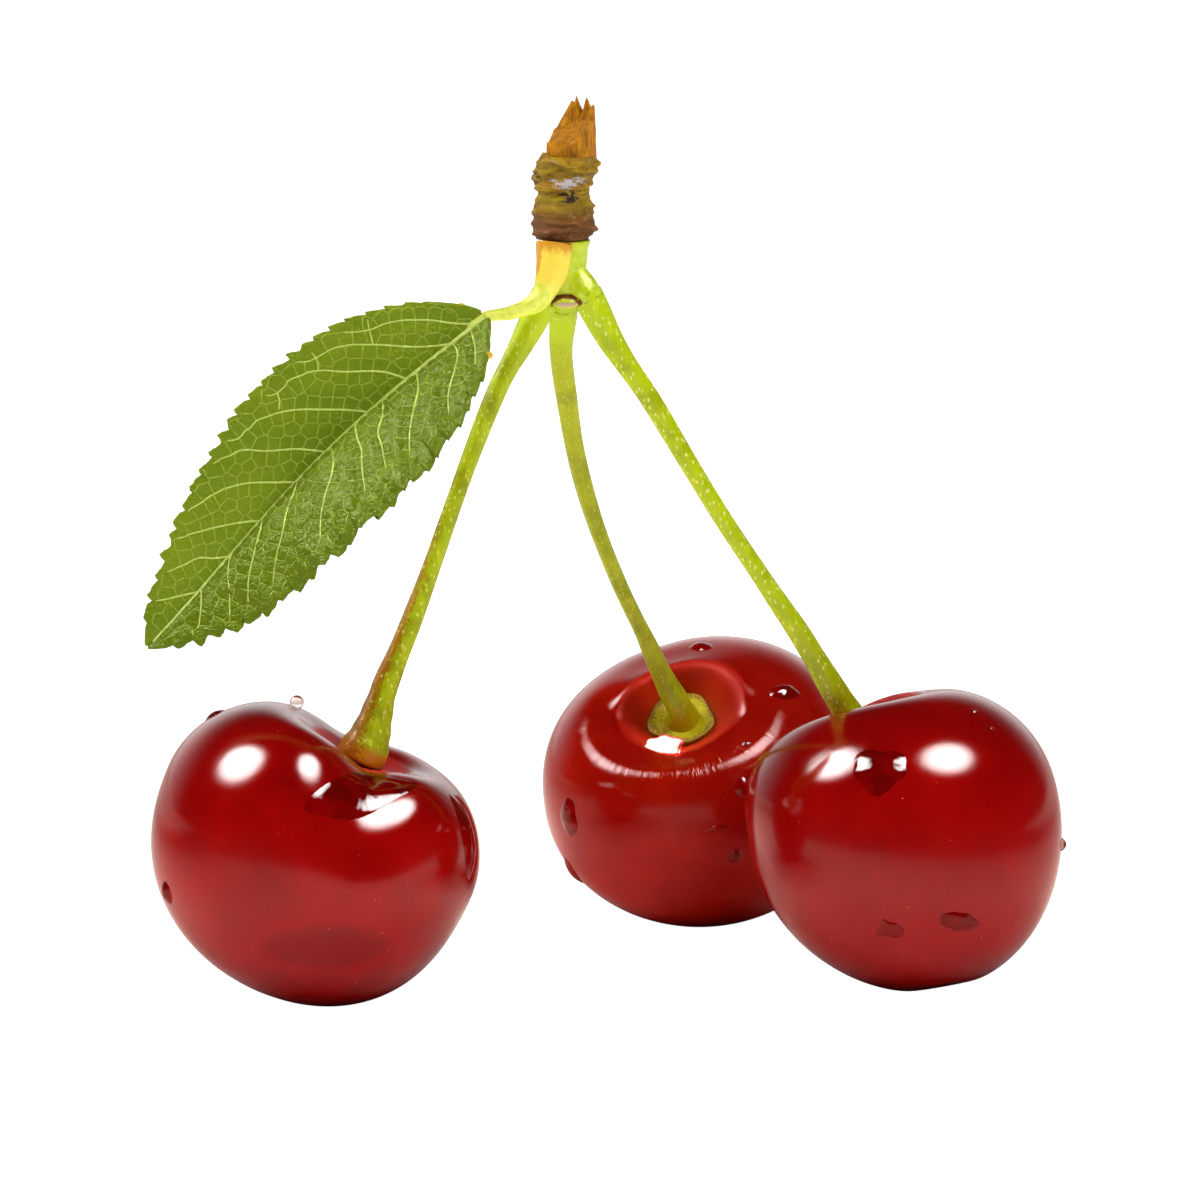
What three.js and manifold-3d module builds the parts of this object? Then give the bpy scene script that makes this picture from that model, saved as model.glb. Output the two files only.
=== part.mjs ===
// A picked cluster of three sour cherries: fruits on their stalks, one leaf, and the broken fruiting
// spur they grew from. Sizes are in millimetres and +Z is up. The fruits rest on the plane Z = 0, as
// three feet under the spur.
import * as THREE from "three";
import { mergeVertices } from "three/addons/utils/BufferGeometryUtils.js";
import Module from "manifold-3d";

const wasm = await Module();
wasm.setup();

const UP = new THREE.Vector3(0, 0, 1);
const GRAFT_GAP = 0.12; // clearance between pieces that grew against each other

// ---- Sizes of the fruits ------------------------------------------------------------------------

const FRUIT_SIDES = 40;
const FRUIT_ROWS = 24;
const SUTURE_WIDTH = 0.16; // radians
const SUTURE_DEPTH = 0.012; // share of the radius
const FAR_SADDLE = 0.55; // the dip opposite the suture, as a share of the one at it
const SADDLE_FULL = 0.5; // the height over the widest ring, as a share of the crown, with the whole saddle
const CAVITY_REACH = 3; // how far out the shoulder's lift may be spared
const BLOSSOM_DIMPLE = { depth: 0.45, width: 1.8 };
const CAVITY_TURN = 0.08; // radians from the stalk end within which a cavity counts as its floor
const FLAT_DEPTH = 0.12; // how far the skin is pressed flat where a fruit rests

// Each fruit is shaped in its own frame, stalk end up, then leaned: lean is the tilt of its stalk end
// from upright and towards the compass angle of that tilt, in degrees. middle is where the widest
// ring stands. crown and base are the heights over and under it. cavity is the hollow for the stalk:
// the higher its power, the flatter its floor and the steeper its wall. shoulder lifts one side of
// the crown; level is the share of that lift which the cavity is spared. crownShift and baseShift
// push the two ends sideways. oval widens the ring along one line. suture is the compass angle of the
// seam. saddle is the dip of the shoulder towards the suture: its depth, its width in radians, and
// the share of the radius where it is deepest and how far it spreads. squareness is the exponent of
// the oval section over and under the widest ring: 2 is an ellipse.
const FRUITS = {
  left: {
    middle: [-20.42, -11.65],
    lean: 27,
    towards: -31.1,
    radius: 11.64,
    crown: 9.99,
    base: 11.65,
    cavity: { depth: 4.48, width: 5.17, power: 2 },
    shoulder: { rise: 1.95, towards: 262.6, level: 0 },
    oval: { share: 0, towards: 0 },
    crownShift: [0.48, 0.6],
    baseShift: [0.57, 0],
    suture: -96,
    saddle: { depth: 2.74, width: 0.47, centre: 0.706, spread: 0.393 },
    squareness: { crown: 1.856, base: 2.408 },
  },
  right: {
    middle: [20.93, -7.79],
    lean: 20.2,
    towards: 120,
    radius: 11.16,
    crown: 9.52,
    base: 12.24,
    cavity: { depth: 3.8, width: 3.9, power: 2 },
    shoulder: { rise: 0.93, towards: 28, level: 0 },
    oval: { share: 0, towards: 0 },
    crownShift: [-2.08, 0.6],
    baseShift: [0.7, 0],
    suture: 60,
    saddle: { depth: -1, width: 0.86, centre: 0.333, spread: 0.3 },
    squareness: { crown: 2.383, base: 1.978 },
  },
  back: {
    middle: [6.75, 13.46],
    lean: 39,
    towards: -97,
    radius: 11.82,
    crown: 9.9,
    base: 9.21,
    cavity: { depth: 3.71, width: 4.15, power: 3 },
    shoulder: { rise: 1.925, towards: -78, level: 1 },
    oval: { share: 0.048, towards: 47 },
    crownShift: [-0.9, 0],
    baseShift: [3.36, 0],
    suture: 100,
    saddle: { depth: 0.5, width: 0.75, centre: 0.5, spread: 0.3 },
    squareness: { crown: 2.334, base: 2.367 },
  },
};

// ---- Sizes of the stalks ------------------------------------------------------------------------

const STALK_SIDES = 14;
const STALK_STEPS = 26;
const STALK_FOOT_RISE = 0.7; // the last of a stalk stands straight out of its cavity for this length

// Each stalk runs through its points, from its joint with the collar to just over its fruit, and ends
// in the cavity. radii are its radii by the share of its length gone: it flares into a foot where it
// meets the fruit. dome is how far the foot bulges down.
const STALKS = {
  left: {
    points: [
      [-5.07, -4.3, 48.27],
      [-6.15, -4.95, 46.13],
      [-7.67, -5.82, 43.38],
      [-9.42, -6.85, 39.25],
      [-10.96, -7.89, 35.13],
      [-12.43, -8.92, 31.02],
      [-13.97, -9.95, 26.91],
      [-15.68, -10.98, 22.82],
    ],
    radii: [
      [0, 1.08],
      [0.18, 0.7],
      [0.42, 0.6],
      [0.55, 0.63],
      [0.75, 0.76],
      [0.86, 0.86],
      [0.95, 1.3],
      [1, 1.65],
    ],
    dome: 0.4,
  },
  right: {
    points: [
      [-1.46, -4.5, 48.83],
      [-0.01, -4.58, 46.07],
      [2.86, -4.71, 41.81],
      [5.43, -4.83, 37.53],
      [8.05, -4.96, 33.24],
      [10.9, -5.08, 28.93],
      [13.78, -5.21, 24.6],
      [15.95, -5.31, 20.99],
    ],
    radii: [
      [0, 1.12],
      [0.2, 0.74],
      [0.45, 0.655],
      [0.62, 0.66],
      [0.8, 0.8],
      [0.92, 0.95],
      [1, 1.3],
    ],
    dome: 0.9,
  },
  back: {
    points: [
      [-3.38, -2.3, 47.58],
      [-3.55, -1.43, 45.33],
      [-3.12, 0.16, 41.16],
      [-2.38, 1.89, 36.55],
      [-1.15, 3.63, 31.87],
      [0.54, 5.37, 27.13],
      [2.66, 7.1, 22.33],
      [4.24, 8.4, 18.68],
    ],
    radii: [
      [0, 1],
      [0.12, 0.8],
      [0.35, 0.67],
      [0.6, 0.575],
      [0.74, 0.565],
      [0.86, 0.74],
      [0.95, 0.95],
      [1, 1.5],
    ],
    dome: 0.5,
  },
};

// ---- Sizes of the spur: collar, bark and torn wood ----------------------------------------------

const SPUR_AXIS = [-3.15, -3.65];
const COLLAR = { bottom: 49.0, top: 53.05, waist: 1.5, rim: 1.72, sides: 24 };
const COLLAR_STUB = { from: 50.3, radius: 1.1, sides: 14, steps: 6, reach: 0.7 };
const SCAR = { centre: [-3.15, -5.0, 48.75], size: [0.95, 0.5, 0.42] };
const BARK = {
  bottom: 53.17, top: 59.0, radius: 2.12, sides: 28, rows: 18, rings: 5, ringDepth: 0.13, knurl: 0.11,
};
const TORN_WOOD = {
  bottom: 59.12, shift: [0.35, 0.1], radius: 1.72, sides: 22, low: 0.5, high: 2.9, pith: 0.75,
};

// Splinters of the torn rim: the compass angle in degrees, how far each stands over the slanted
// break, its half width in degrees.
const SPLINTERS = [
  [74, 1.5, 20],
  [42, 1.15, 14],
  [4, 0.95, 15],
  [-32, 0.5, 16],
];

// ---- Sizes of the leaf --------------------------------------------------------------------------

const LEAF = {
  base: [-8.8, -6.65, 47.9],
  tip: [-32.2, -13.65, 25.7],
  face: [0.065, -0.965, 0.236], // the way its upper face looks
  halfWidth: 7.4,
  thickness: 0.62,
  foldLeft: 10, // how far each half rises from flat, in degrees
  foldRight: [54, 26], // at the base and at the tip
  arch: 1.1,
  teeth: 27,
  toothHeight: 0.42,
  toothLean: 0.72, // where along its pitch a tooth stands highest
  columns: 6,
};
const VEIN = { sides: 10, steps: 36, drop: 0.16, reach: 0.94 };

// The leaf stalk: from its sheath on the collar to the blade.
const PETIOLE = [
  [-3.95, -4.75, 52.8],
  [-4.25, -5.15, 50.6],
  [-5.05, -5.6, 49.05],
  [-6.9, -6.2, 48.2],
];

// Radii from the sheath to the end of the midrib, by the share of the length gone.
const VEIN_RADII = [
  [0, 1.12],
  [0.05, 0.9],
  [0.1, 0.55],
  [0.2, 0.46],
  [0.4, 0.42],
  [1, 0.3],
];

// Two nectar glands at the foot of the blade: where along the blade, the side, how far out, and the
// radius.
const GLANDS = [
  [0.04, -1, 1.15, 0.42],
  [0.045, 1, 2.5, 0.45],
];

// ---- Helpers ------------------------------------------------------------------------------------

const radians = THREE.MathUtils.degToRad;
const vector = (xyz) => new THREE.Vector3(...xyz);
const { lerp, smoothstep } = THREE.MathUtils;

// |v| to a power, with its sign kept.
const bent = (v, power) => Math.sign(v) * Math.abs(v) ** power;

// The difference of two angles, from -PI to PI.
const turnBetween = (a, b) => Math.atan2(Math.sin(a - b), Math.cos(a - b));

// A bell curve, 1 at 0.
const bell = (distance, width) => Math.exp(-((distance / width) ** 2));

// A value that passes smoothly through stops of [share, value].
function through(stops, share) {
  const next = stops.findIndex(([at]) => at >= share);
  if (next <= 0) return stops[next < 0 ? stops.length - 1 : 0][1];
  const [from, low] = stops[next - 1];
  const [to, high] = stops[next];
  return lerp(low, high, smoothstep(share, from, to));
}

function moveVertices(geometry, place) {
  const position = geometry.getAttribute("position");
  const p = new THREE.Vector3();
  for (let i = 0; i < position.count; i++) {
    const moved = place(p.fromBufferAttribute(position, i));
    position.setXYZ(i, moved.x, moved.y, moved.z);
  }
  return geometry;
}

function solidOf(geometry) {
  const bare = geometry.clone().deleteAttribute("normal").deleteAttribute("uv");
  const merged = mergeVertices(bare, 1e-4);
  return new wasm.Manifold(
    new wasm.Mesh({
      numProp: 3,
      vertProperties: new Float32Array(merged.attributes.position.array),
      triVerts: new Uint32Array(merged.index.array),
    }),
  );
}

function geometryOf(solid) {
  const mesh = solid.getMesh();
  const geometry = new THREE.BufferGeometry();
  geometry.setAttribute("position", new THREE.BufferAttribute(mesh.vertProperties, 3));
  geometry.setIndex(new THREE.BufferAttribute(mesh.triVerts, 1));
  geometry.computeVertexNormals();
  return geometry;
}

// A round stem along a curve. radiusAt takes the share of the length gone, from 0 to 1. tipDome is
// how far the far end bulges.
function stemGeometry(curve, radiusAt, { sides, steps, tipDome = 0 }) {
  const profile = [new THREE.Vector2(0, 0)];
  for (let i = 0; i <= steps; i++) profile.push(new THREE.Vector2(1, i));
  profile.push(new THREE.Vector2(0, steps));
  const frames = curve.computeFrenetFrames(steps);
  return moveVertices(new THREE.LatheGeometry(profile, sides), (p) => {
    const i = Math.round(p.y);
    const onAxis = Math.hypot(p.x, p.z) < 0.5;
    const reach = onAxis ? 0 : radiusAt(i / steps);
    const angle = Math.atan2(p.z, p.x);
    return curve
      .getPointAt(i / steps)
      .addScaledVector(frames.normals[i], reach * Math.cos(angle))
      .addScaledVector(frames.binormals[i], -reach * Math.sin(angle))
      .addScaledVector(frames.tangents[i], onAxis && i > 0 ? tipDome : 0);
  });
}

// An upright turned body on a profile of [radius, height], with its vertices then moved.
function turned(profile, sides, place) {
  const points = profile.map(([radius, height]) => new THREE.Vector2(radius, height));
  return moveVertices(new THREE.LatheGeometry(points, sides).rotateX(Math.PI / 2), place);
}

// A thin closed sheet. place(across, along, side) gives each point: across runs from -1 to 1, along
// from 0 to 1, and side is 1 on the upper face and -1 on the lower. Both faces are split along the
// same diagonals.
function sheetGeometry(columns, rows, place) {
  const positions = [];
  for (const side of [1, -1])
    for (let j = 0; j <= rows; j++)
      for (let i = 0; i <= columns; i++) {
        positions.push(...place((2 * i) / columns - 1, j / rows, side).toArray());
      }
  const upper = (i, j) => j * (columns + 1) + i;
  const lower = (i, j) => upper(i, j) + (columns + 1) * (rows + 1);
  const index = [];
  const quad = (a, b, c, d) => index.push(a, b, c, a, c, d);
  for (let j = 0; j < rows; j++) {
    for (let i = 0; i < columns; i++) {
      quad(upper(i, j), upper(i, j + 1), upper(i + 1, j + 1), upper(i + 1, j));
      index.push(lower(i, j), lower(i + 1, j + 1), lower(i, j + 1));
      index.push(lower(i, j), lower(i + 1, j), lower(i + 1, j + 1));
    }
    quad(lower(0, j), lower(0, j + 1), upper(0, j + 1), upper(0, j));
    quad(upper(columns, j), upper(columns, j + 1), lower(columns, j + 1), lower(columns, j));
  }
  for (let i = 0; i < columns; i++) {
    quad(upper(i, 0), upper(i + 1, 0), lower(i + 1, 0), lower(i, 0));
    quad(lower(i, rows), lower(i + 1, rows), upper(i + 1, rows), upper(i, rows));
  }
  const geometry = new THREE.BufferGeometry();
  geometry.setAttribute("position", new THREE.Float32BufferAttribute(positions, 3));
  geometry.setIndex(index);
  return geometry;
}

// ---- Fruits -------------------------------------------------------------------------------------

// A point of a fruit's skin in its own frame: turn runs from 0 at the stalk to PI at the blossom end.
function skinPoint(fruit, turn, compass) {
  const onCrown = Math.cos(turn) > 0;
  const power = 2 / (onCrown ? fruit.squareness.crown : fruit.squareness.base);
  const fromSuture = turnBetween(compass, radians(fruit.suture));
  const fromFarSide = turnBetween(compass, radians(fruit.suture + 180));
  const reach = fruit.radius * Math.max(Math.sin(turn), 0) ** power;
  const level = bent(Math.cos(turn), power);
  let z = level * (onCrown ? fruit.crown : fruit.base);
  if (onCrown) {
    const { depth, width, centre, spread } = fruit.saddle;
    const dip = bell(fromSuture, width) + FAR_SADDLE * bell(fromFarSide, width);
    const whole = smoothstep(level, 0, SADDLE_FULL);
    z -= depth * dip * whole * bell(reach / fruit.radius - centre, spread);
    z -= fruit.cavity.depth * Math.exp(-((reach / fruit.cavity.width) ** fruit.cavity.power));
    const lift = fruit.shoulder.rise * (1 - fruit.shoulder.level * bell(reach, CAVITY_REACH));
    z += lift * Math.cos(compass - radians(fruit.shoulder.towards)) * Math.sin(2 * turn);
  } else {
    z += BLOSSOM_DIMPLE.depth * bell(reach, BLOSSOM_DIMPLE.width);
  }
  const groove = SUTURE_DEPTH * bell(fromSuture, SUTURE_WIDTH) * Math.sin(turn) ** 2;
  const oval = fruit.oval.share * Math.cos(2 * (compass - radians(fruit.oval.towards)));
  const out = reach * (1 - groove) * (1 + oval);
  const [sideways, onwards] = onCrown ? fruit.crownShift : fruit.baseShift;
  return new THREE.Vector3(
    out * Math.cos(compass) + sideways * level ** 2,
    out * Math.sin(compass) + onwards * level ** 2,
    z,
  );
}

// The direction of a fruit's stalk end.
function fruitAxis(fruit) {
  return new THREE.Vector3().setFromSphericalCoords(1, radians(fruit.lean), 0).applyMatrix4(
    new THREE.Matrix4().makeRotationX(Math.PI / 2).premultiply(
      new THREE.Matrix4().makeRotationZ(radians(fruit.towards + 90)),
    ),
  );
}

// A closed body of revolution whose vertices are moved to the leaning skin, let down until its lowest
// point is FLAT_DEPTH under the resting plane. foot is where its stalk meets it: the floor of the
// cavity and the way that faces.
function fruitBody(fruit) {
  const leaned = new THREE.Quaternion().setFromUnitVectors(UP, fruitAxis(fruit));
  const profile = [];
  for (let row = FRUIT_ROWS; row >= 0; row--) {
    const turn = (Math.PI * row) / FRUIT_ROWS;
    profile.push([row % FRUIT_ROWS ? Math.sin(turn) : 0, Math.cos(turn)]);
  }
  const geometry = turned(profile, FRUIT_SIDES, (p) =>
    skinPoint(fruit, Math.acos(THREE.MathUtils.clamp(p.z, -1, 1)), Math.atan2(p.y, p.x))
      .applyQuaternion(leaned),
  );
  geometry.computeBoundingBox();
  const stand = new THREE.Vector3(...fruit.middle, -FLAT_DEPTH - geometry.boundingBox.min.z);
  geometry.translate(...stand.toArray());
  const floor = skinPoint(fruit, 0, 0).applyQuaternion(leaned).add(stand);
  const [east, north] = [0, Math.PI / 2].map((compass) =>
    skinPoint(fruit, CAVITY_TURN, compass).sub(skinPoint(fruit, CAVITY_TURN, compass + Math.PI)),
  );
  return { geometry, foot: { floor, facing: east.cross(north).normalize().applyQuaternion(leaned) } };
}

// ---- Stalks -------------------------------------------------------------------------------------

// The curve of a stalk, which stops a gap over the floor of its fruit's cavity.
function stalkCurve({ points, dome }, { floor, facing }) {
  const end = floor.clone().addScaledVector(facing, GRAFT_GAP + dome);
  const neck = end.clone().addScaledVector(facing, STALK_FOOT_RISE);
  return new THREE.CatmullRomCurve3([...points.map(vector), neck, end], false, "chordal");
}

// ---- Collar -------------------------------------------------------------------------------------

// The short green column under the bark, with a stub that reaches to each stalk.
function collarSolid(stalks) {
  const { bottom, top, waist, rim, sides } = COLLAR;
  const middle = lerp(bottom, top, 0.45);
  const profile = [
    [0, bottom],
    [waist * 0.8, bottom],
    [waist * 1.04, lerp(bottom, middle, 0.5)],
    [waist, middle],
    [waist * 1.03, lerp(middle, top, 0.6)],
    [rim, top],
    [0, top],
  ];
  const column = turned(profile, sides, (p) => p.clone().add(new THREE.Vector3(...SPUR_AXIS, 0)));
  const { from, radius, steps, reach } = COLLAR_STUB;
  const stubs = stalks.map(({ curve, radii }) => {
    const away = curve.getTangentAt(0);
    const end = curve.getPointAt(0).addScaledVector(away, -GRAFT_GAP);
    const bend = end.clone().addScaledVector(away, -reach);
    const path = new THREE.QuadraticBezierCurve3(new THREE.Vector3(...SPUR_AXIS, from), bend, end);
    const radiusAt = (share) => lerp(radius, radii[0][1], share);
    return stemGeometry(path, radiusAt, { sides: COLLAR_STUB.sides, steps });
  });
  const scar = new THREE.SphereGeometry(1, 14, 7).scale(...SCAR.size).translate(...SCAR.centre);
  return wasm.Manifold.union([column, scar, ...stubs].map(solidOf));
}

// ---- Bark and torn wood -------------------------------------------------------------------------

// The ringed bark of the spur. Its radius swells in rings and wanders with the compass angle.
function barkGeometry() {
  const { bottom, top, radius, sides, rows, rings, ringDepth, knurl } = BARK;
  const profile = [[0, bottom]];
  for (let row = 0; row <= rows; row++) profile.push([radius, lerp(bottom, top, row / rows)]);
  profile.push([0, top]);
  return turned(profile, sides, (p) => {
    if (Math.hypot(p.x, p.y) < 1e-6) return new THREE.Vector3(...SPUR_AXIS, p.z);
    const share = (p.z - bottom) / (top - bottom);
    const compass = Math.atan2(p.y, p.x);
    const ring = Math.abs(Math.sin(Math.PI * rings * share + 0.5 * Math.sin(compass + 2))) - 0.5;
    const wander = Math.sin(3 * compass + 9 * share) + 0.6 * Math.sin(5 * compass - 14 * share);
    const reach = radius + ringDepth * ring + knurl * wander - 0.5 * smoothstep(share, 0.9, 1.05);
    const [x, y] = SPUR_AXIS;
    return new THREE.Vector3(x + reach * Math.cos(compass), y + reach * Math.sin(compass), p.z);
  });
}

// Wood torn on a slant: a short column whose rim rises towards the back and stands in splinters round
// a hollow pith.
function tornWoodGeometry() {
  const { bottom, shift, radius, sides, low, high, pith } = TORN_WOOD;
  const breakAt = (compass) =>
    bottom + lerp(low, high, 0.5 + 0.5 * Math.cos(turnBetween(compass, radians(40))));
  const profile = [
    [0, 0],
    [radius, 0],
    [radius, 1],
    [radius, 2],
    [radius * 0.62, 3],
    [0, 3],
  ];
  return turned(profile, sides, (p) => {
    const out = Math.hypot(p.x, p.y);
    const compass = out > 1e-6 ? Math.atan2(p.y, p.x) : 0;
    const splinter = SPLINTERS.reduce(
      (most, [at, rise, width]) =>
        Math.max(most, rise * (1 - Math.abs(turnBetween(compass, radians(at))) / radians(width))),
      0,
    );
    const rim = breakAt(compass) + splinter;
    const level = Math.round(p.z);
    const height = [bottom, lerp(bottom, rim, 0.5), rim, lerp(bottom, breakAt(compass), pith)][level];
    const squeeze = level === 2 ? 1 - 0.08 * splinter : 1 + 0.05 * Math.sin(4 * compass);
    return new THREE.Vector3(
      SPUR_AXIS[0] + shift[0] + p.x * squeeze,
      SPUR_AXIS[1] + shift[1] + p.y * squeeze,
      out > 1e-6 ? height : level === 0 ? bottom : bottom + low * pith,
    );
  });
}

// ---- Leaf ---------------------------------------------------------------------------------------

const leafAlong = vector(LEAF.tip).sub(vector(LEAF.base));
const leafFace = vector(LEAF.face).projectOnPlane(leafAlong).normalize();
const leafSide = leafFace.clone().cross(leafAlong).normalize();

// Half the width of the blade without its teeth, widest a little under the middle and pointed at the
// tip.
const halfWidthAt = (along) =>
  LEAF.halfWidth * Math.sin(Math.PI * lerp(0.004, 0.998, along) ** 0.756) ** lerp(0.85, 0.75, along);

// A point of the blade: out is how far from the midrib in millimetres, across its share of the half
// width, with the sign of the side, and lift how far over the middle of its thickness.
function bladePoint(across, along, out, lift) {
  const steepest = across < 0 ? LEAF.foldLeft : lerp(...LEAF.foldRight, smoothstep(along, 0.5, 0.9));
  const fold = radians(steepest) * (1 - 0.1 * Math.abs(across)) * Math.sign(across);
  const flat = new THREE.Vector3()
    .addScaledVector(leafSide, Math.cos(fold))
    .addScaledVector(leafFace, Math.sin(fold));
  const facing = new THREE.Vector3()
    .addScaledVector(leafFace, Math.cos(fold))
    .addScaledVector(leafSide, -Math.sin(fold));
  return vector(LEAF.base)
    .addScaledVector(leafAlong, along)
    .addScaledVector(leafFace, LEAF.arch * Math.sin(Math.PI * along))
    .addScaledVector(flat, Math.sign(across) * out)
    .addScaledVector(facing, lift);
}

// The blade has two rows of points a tooth: one in the notch and one on the point, which leans to the
// tip.
function bladeGeometry() {
  const { teeth, toothHeight, toothLean, thickness, columns } = LEAF;
  return sheetGeometry(columns, 2 * teeth, (across, along, side) => {
    const row = Math.round(along * 2 * teeth);
    const onPoint = row % 2;
    const leaned = (Math.floor(row / 2) + (onPoint ? toothLean : 0)) / teeth;
    const rib = Math.abs(across) ** 3 * leaned + (1 - Math.abs(across) ** 3) * along;
    const grown = smoothstep(along, 0.02, 0.14) * (1 - smoothstep(along, 0.9, 1));
    const tooth = onPoint * toothHeight * grown * Math.abs(across) ** 6;
    return bladePoint(across, rib, Math.abs(across) * halfWidthAt(rib) + tooth, (side * thickness) / 2);
  });
}

// The midrib and the leaf stalk are one stem, which starts as a sheath on the collar and ends near
// the leaf's tip.
function veinGeometry(extra) {
  const ribPoints = [0, 0.3, 0.6, VEIN.reach].map((along) => bladePoint(0, along, 0, -VEIN.drop));
  const curve = new THREE.CatmullRomCurve3([...PETIOLE.map(vector), ...ribPoints], false, "chordal");
  const radiusAt = (share) => through(VEIN_RADII, share) + extra;
  return stemGeometry(curve, radiusAt, { sides: VEIN.sides, steps: VEIN.steps });
}

function leafSolid() {
  const glands = GLANDS.map(([along, side, out, radius]) => {
    const at = bladePoint(side, along, out, 0);
    return new THREE.SphereGeometry(radius, 10, 8).translate(...at.toArray());
  });
  return wasm.Manifold.union([bladeGeometry(), veinGeometry(0), ...glands].map(solidOf));
}

// ---- The object ---------------------------------------------------------------------------------

const plain = (color, roughness) => new THREE.MeshStandardMaterial({ color, roughness, metalness: 0 });
const skinRed = plain(0x8f0d0a, 0.12);
const stalkGreen = plain(0x9aa61c, 0.5);
const collarGreen = plain(0xa9b81e, 0.5);
const leafGreen = plain(0x4c7414, 0.5);
const barkBrown = plain(0x6a5220, 0.8);
const woodOrange = plain(0xb06a16, 0.8);

const cluster = new THREE.Group();

function addPiece(name, geometry, material) {
  const mesh = new THREE.Mesh(geometry, material);
  mesh.name = name;
  cluster.add(mesh);
}

// Everything under the resting plane, cut away so that each fruit stands on a small flat.
const below = solidOf(new THREE.BoxGeometry(100, 100, 20).translate(0, 0, -10));

const stalks = Object.entries(FRUITS).map(([name, fruit]) => {
  const { geometry, foot } = fruitBody(fruit);
  const { radii, dome } = STALKS[name];
  const curve = stalkCurve(STALKS[name], foot);
  const form = { sides: STALK_SIDES, steps: STALK_STEPS, tipDome: dome };
  addPiece(`cherry_${name}`, geometryOf(solidOf(geometry).subtract(below)), skinRed);
  addPiece(`stalk_${name}`, stemGeometry(curve, (share) => through(radii, share), form), stalkGreen);
  return { curve, radii };
});

const collar = collarSolid(stalks).subtract(solidOf(veinGeometry(GRAFT_GAP)));
addPiece("collar", geometryOf(collar), collarGreen);
addPiece("bark", barkGeometry(), barkBrown);
addPiece("torn_wood", tornWoodGeometry(), woodOrange);
addPiece("leaf", geometryOf(leafSolid()), leafGreen);

// The origin goes under the middle of the cluster.
const middle = new THREE.Box3().setFromObject(cluster).getCenter(new THREE.Vector3());
for (const piece of cluster.children) piece.position.set(-middle.x, -middle.y, 0);

export default cluster;
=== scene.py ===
"""The looks of three sour cherries on their stalks, with one leaf and the torn spur they grew from.

Sizes are in millimetres from the solids' own origin, and become metres in the row's frame as the
meshes are made.
"""

import logging
import math
from dataclasses import dataclass
from enum import Enum
from typing import Callable, Sequence

import bpy
import numpy as np
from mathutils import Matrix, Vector, noise
from mathutils.bvhtree import BVHTree
from mathutils.geometry import delaunay_2d_cdt
from mathutils.kdtree import KDTree


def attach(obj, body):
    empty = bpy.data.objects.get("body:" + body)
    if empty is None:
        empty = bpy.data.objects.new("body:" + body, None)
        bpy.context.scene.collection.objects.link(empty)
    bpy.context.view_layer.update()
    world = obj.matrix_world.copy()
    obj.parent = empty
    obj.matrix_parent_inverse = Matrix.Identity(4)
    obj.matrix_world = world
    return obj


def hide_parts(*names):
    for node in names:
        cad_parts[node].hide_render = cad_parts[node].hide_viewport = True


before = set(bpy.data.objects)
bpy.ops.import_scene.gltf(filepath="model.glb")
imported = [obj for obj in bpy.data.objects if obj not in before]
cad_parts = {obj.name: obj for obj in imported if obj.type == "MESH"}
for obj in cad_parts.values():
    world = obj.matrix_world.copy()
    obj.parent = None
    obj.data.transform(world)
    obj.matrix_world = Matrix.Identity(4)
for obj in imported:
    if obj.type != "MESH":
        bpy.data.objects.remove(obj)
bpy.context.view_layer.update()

LOG = logging.getLogger("cherries")
MM = 0.001
ORIGIN = np.array([0.134001, -0.864887, 0.0])
UP = np.array([0.0, 0.0, 1.0])

Array = np.ndarray
Colour = tuple[float, float, float, float]
Shape = Callable[[Array, Array], Array]


# ---- Numbers -------------------------------------------------------------------------------------


def paint(red: int, green: int, blue: int) -> Colour:
    """A screen colour from 0 to 255 as the linear colour that a shader takes."""

    def linear(part: int) -> float:
        share = part / 255
        return share / 12.92 if share <= 0.04045 else ((share + 0.055) / 1.055) ** 2.4

    return (linear(red), linear(green), linear(blue), 1.0)


def grey(level: float) -> Colour:
    """A grey of this brightness, which may be over 1."""
    return (level, level, level, 1.0)


BLACK = paint(0, 0, 0)
WHITE = paint(255, 255, 255)

# The fresh rind of the collar and of the stalks where they leave it.
LIME = paint(190, 210, 8)


def bell(distance: Array, width: float) -> Array:
    """A bell curve, 1 at 0."""
    return np.exp(-((distance / width) ** 2))


def smooth(value: Array, low: float, high: float) -> Array:
    """0 at low, 1 at high, and a smooth step between them. low may be over high."""
    share = np.clip((value - low) / (high - low), 0, 1)
    return share * share * (3 - 2 * share)


def mixed(low: Array, high: Array, share: Array) -> Array:
    """A value between low and high."""
    return low + (high - low) * share


def turn_between(first: Array, second: Array) -> Array:
    """The difference of two angles, from -pi to pi."""
    return np.arctan2(np.sin(first - second), np.cos(first - second))


def through(stops: Sequence[tuple[float, float]], share: Array) -> Array:
    """A value that passes smoothly through stops.

    Args:
        stops: Pairs of share and value, in order.
        share: Where to read the value.

    Returns:
        The value at each share.
    """
    value = np.full(np.shape(share), stops[0][1], dtype=float)
    for (start, low), (end, high) in zip(stops, stops[1:]):
        value = np.where(share > start, mixed(low, high, smooth(share, start, end)), value)
    return value


def unit(vector: Array) -> Array:
    """The same direction with length 1."""
    return vector / np.linalg.norm(vector, axis=-1, keepdims=True)


def gone_along(line: Array) -> Array:
    """The length gone at each point of a line."""
    return np.concatenate([[0], np.cumsum(np.linalg.norm(np.diff(line, axis=0), axis=1))])


def read_between(at: Array, places: Array, rows: Array) -> Array:
    """Rows of numbers that stand at places, read at others between them."""
    return np.stack([np.interp(at, places, column) for column in rows.T], axis=1)


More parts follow.
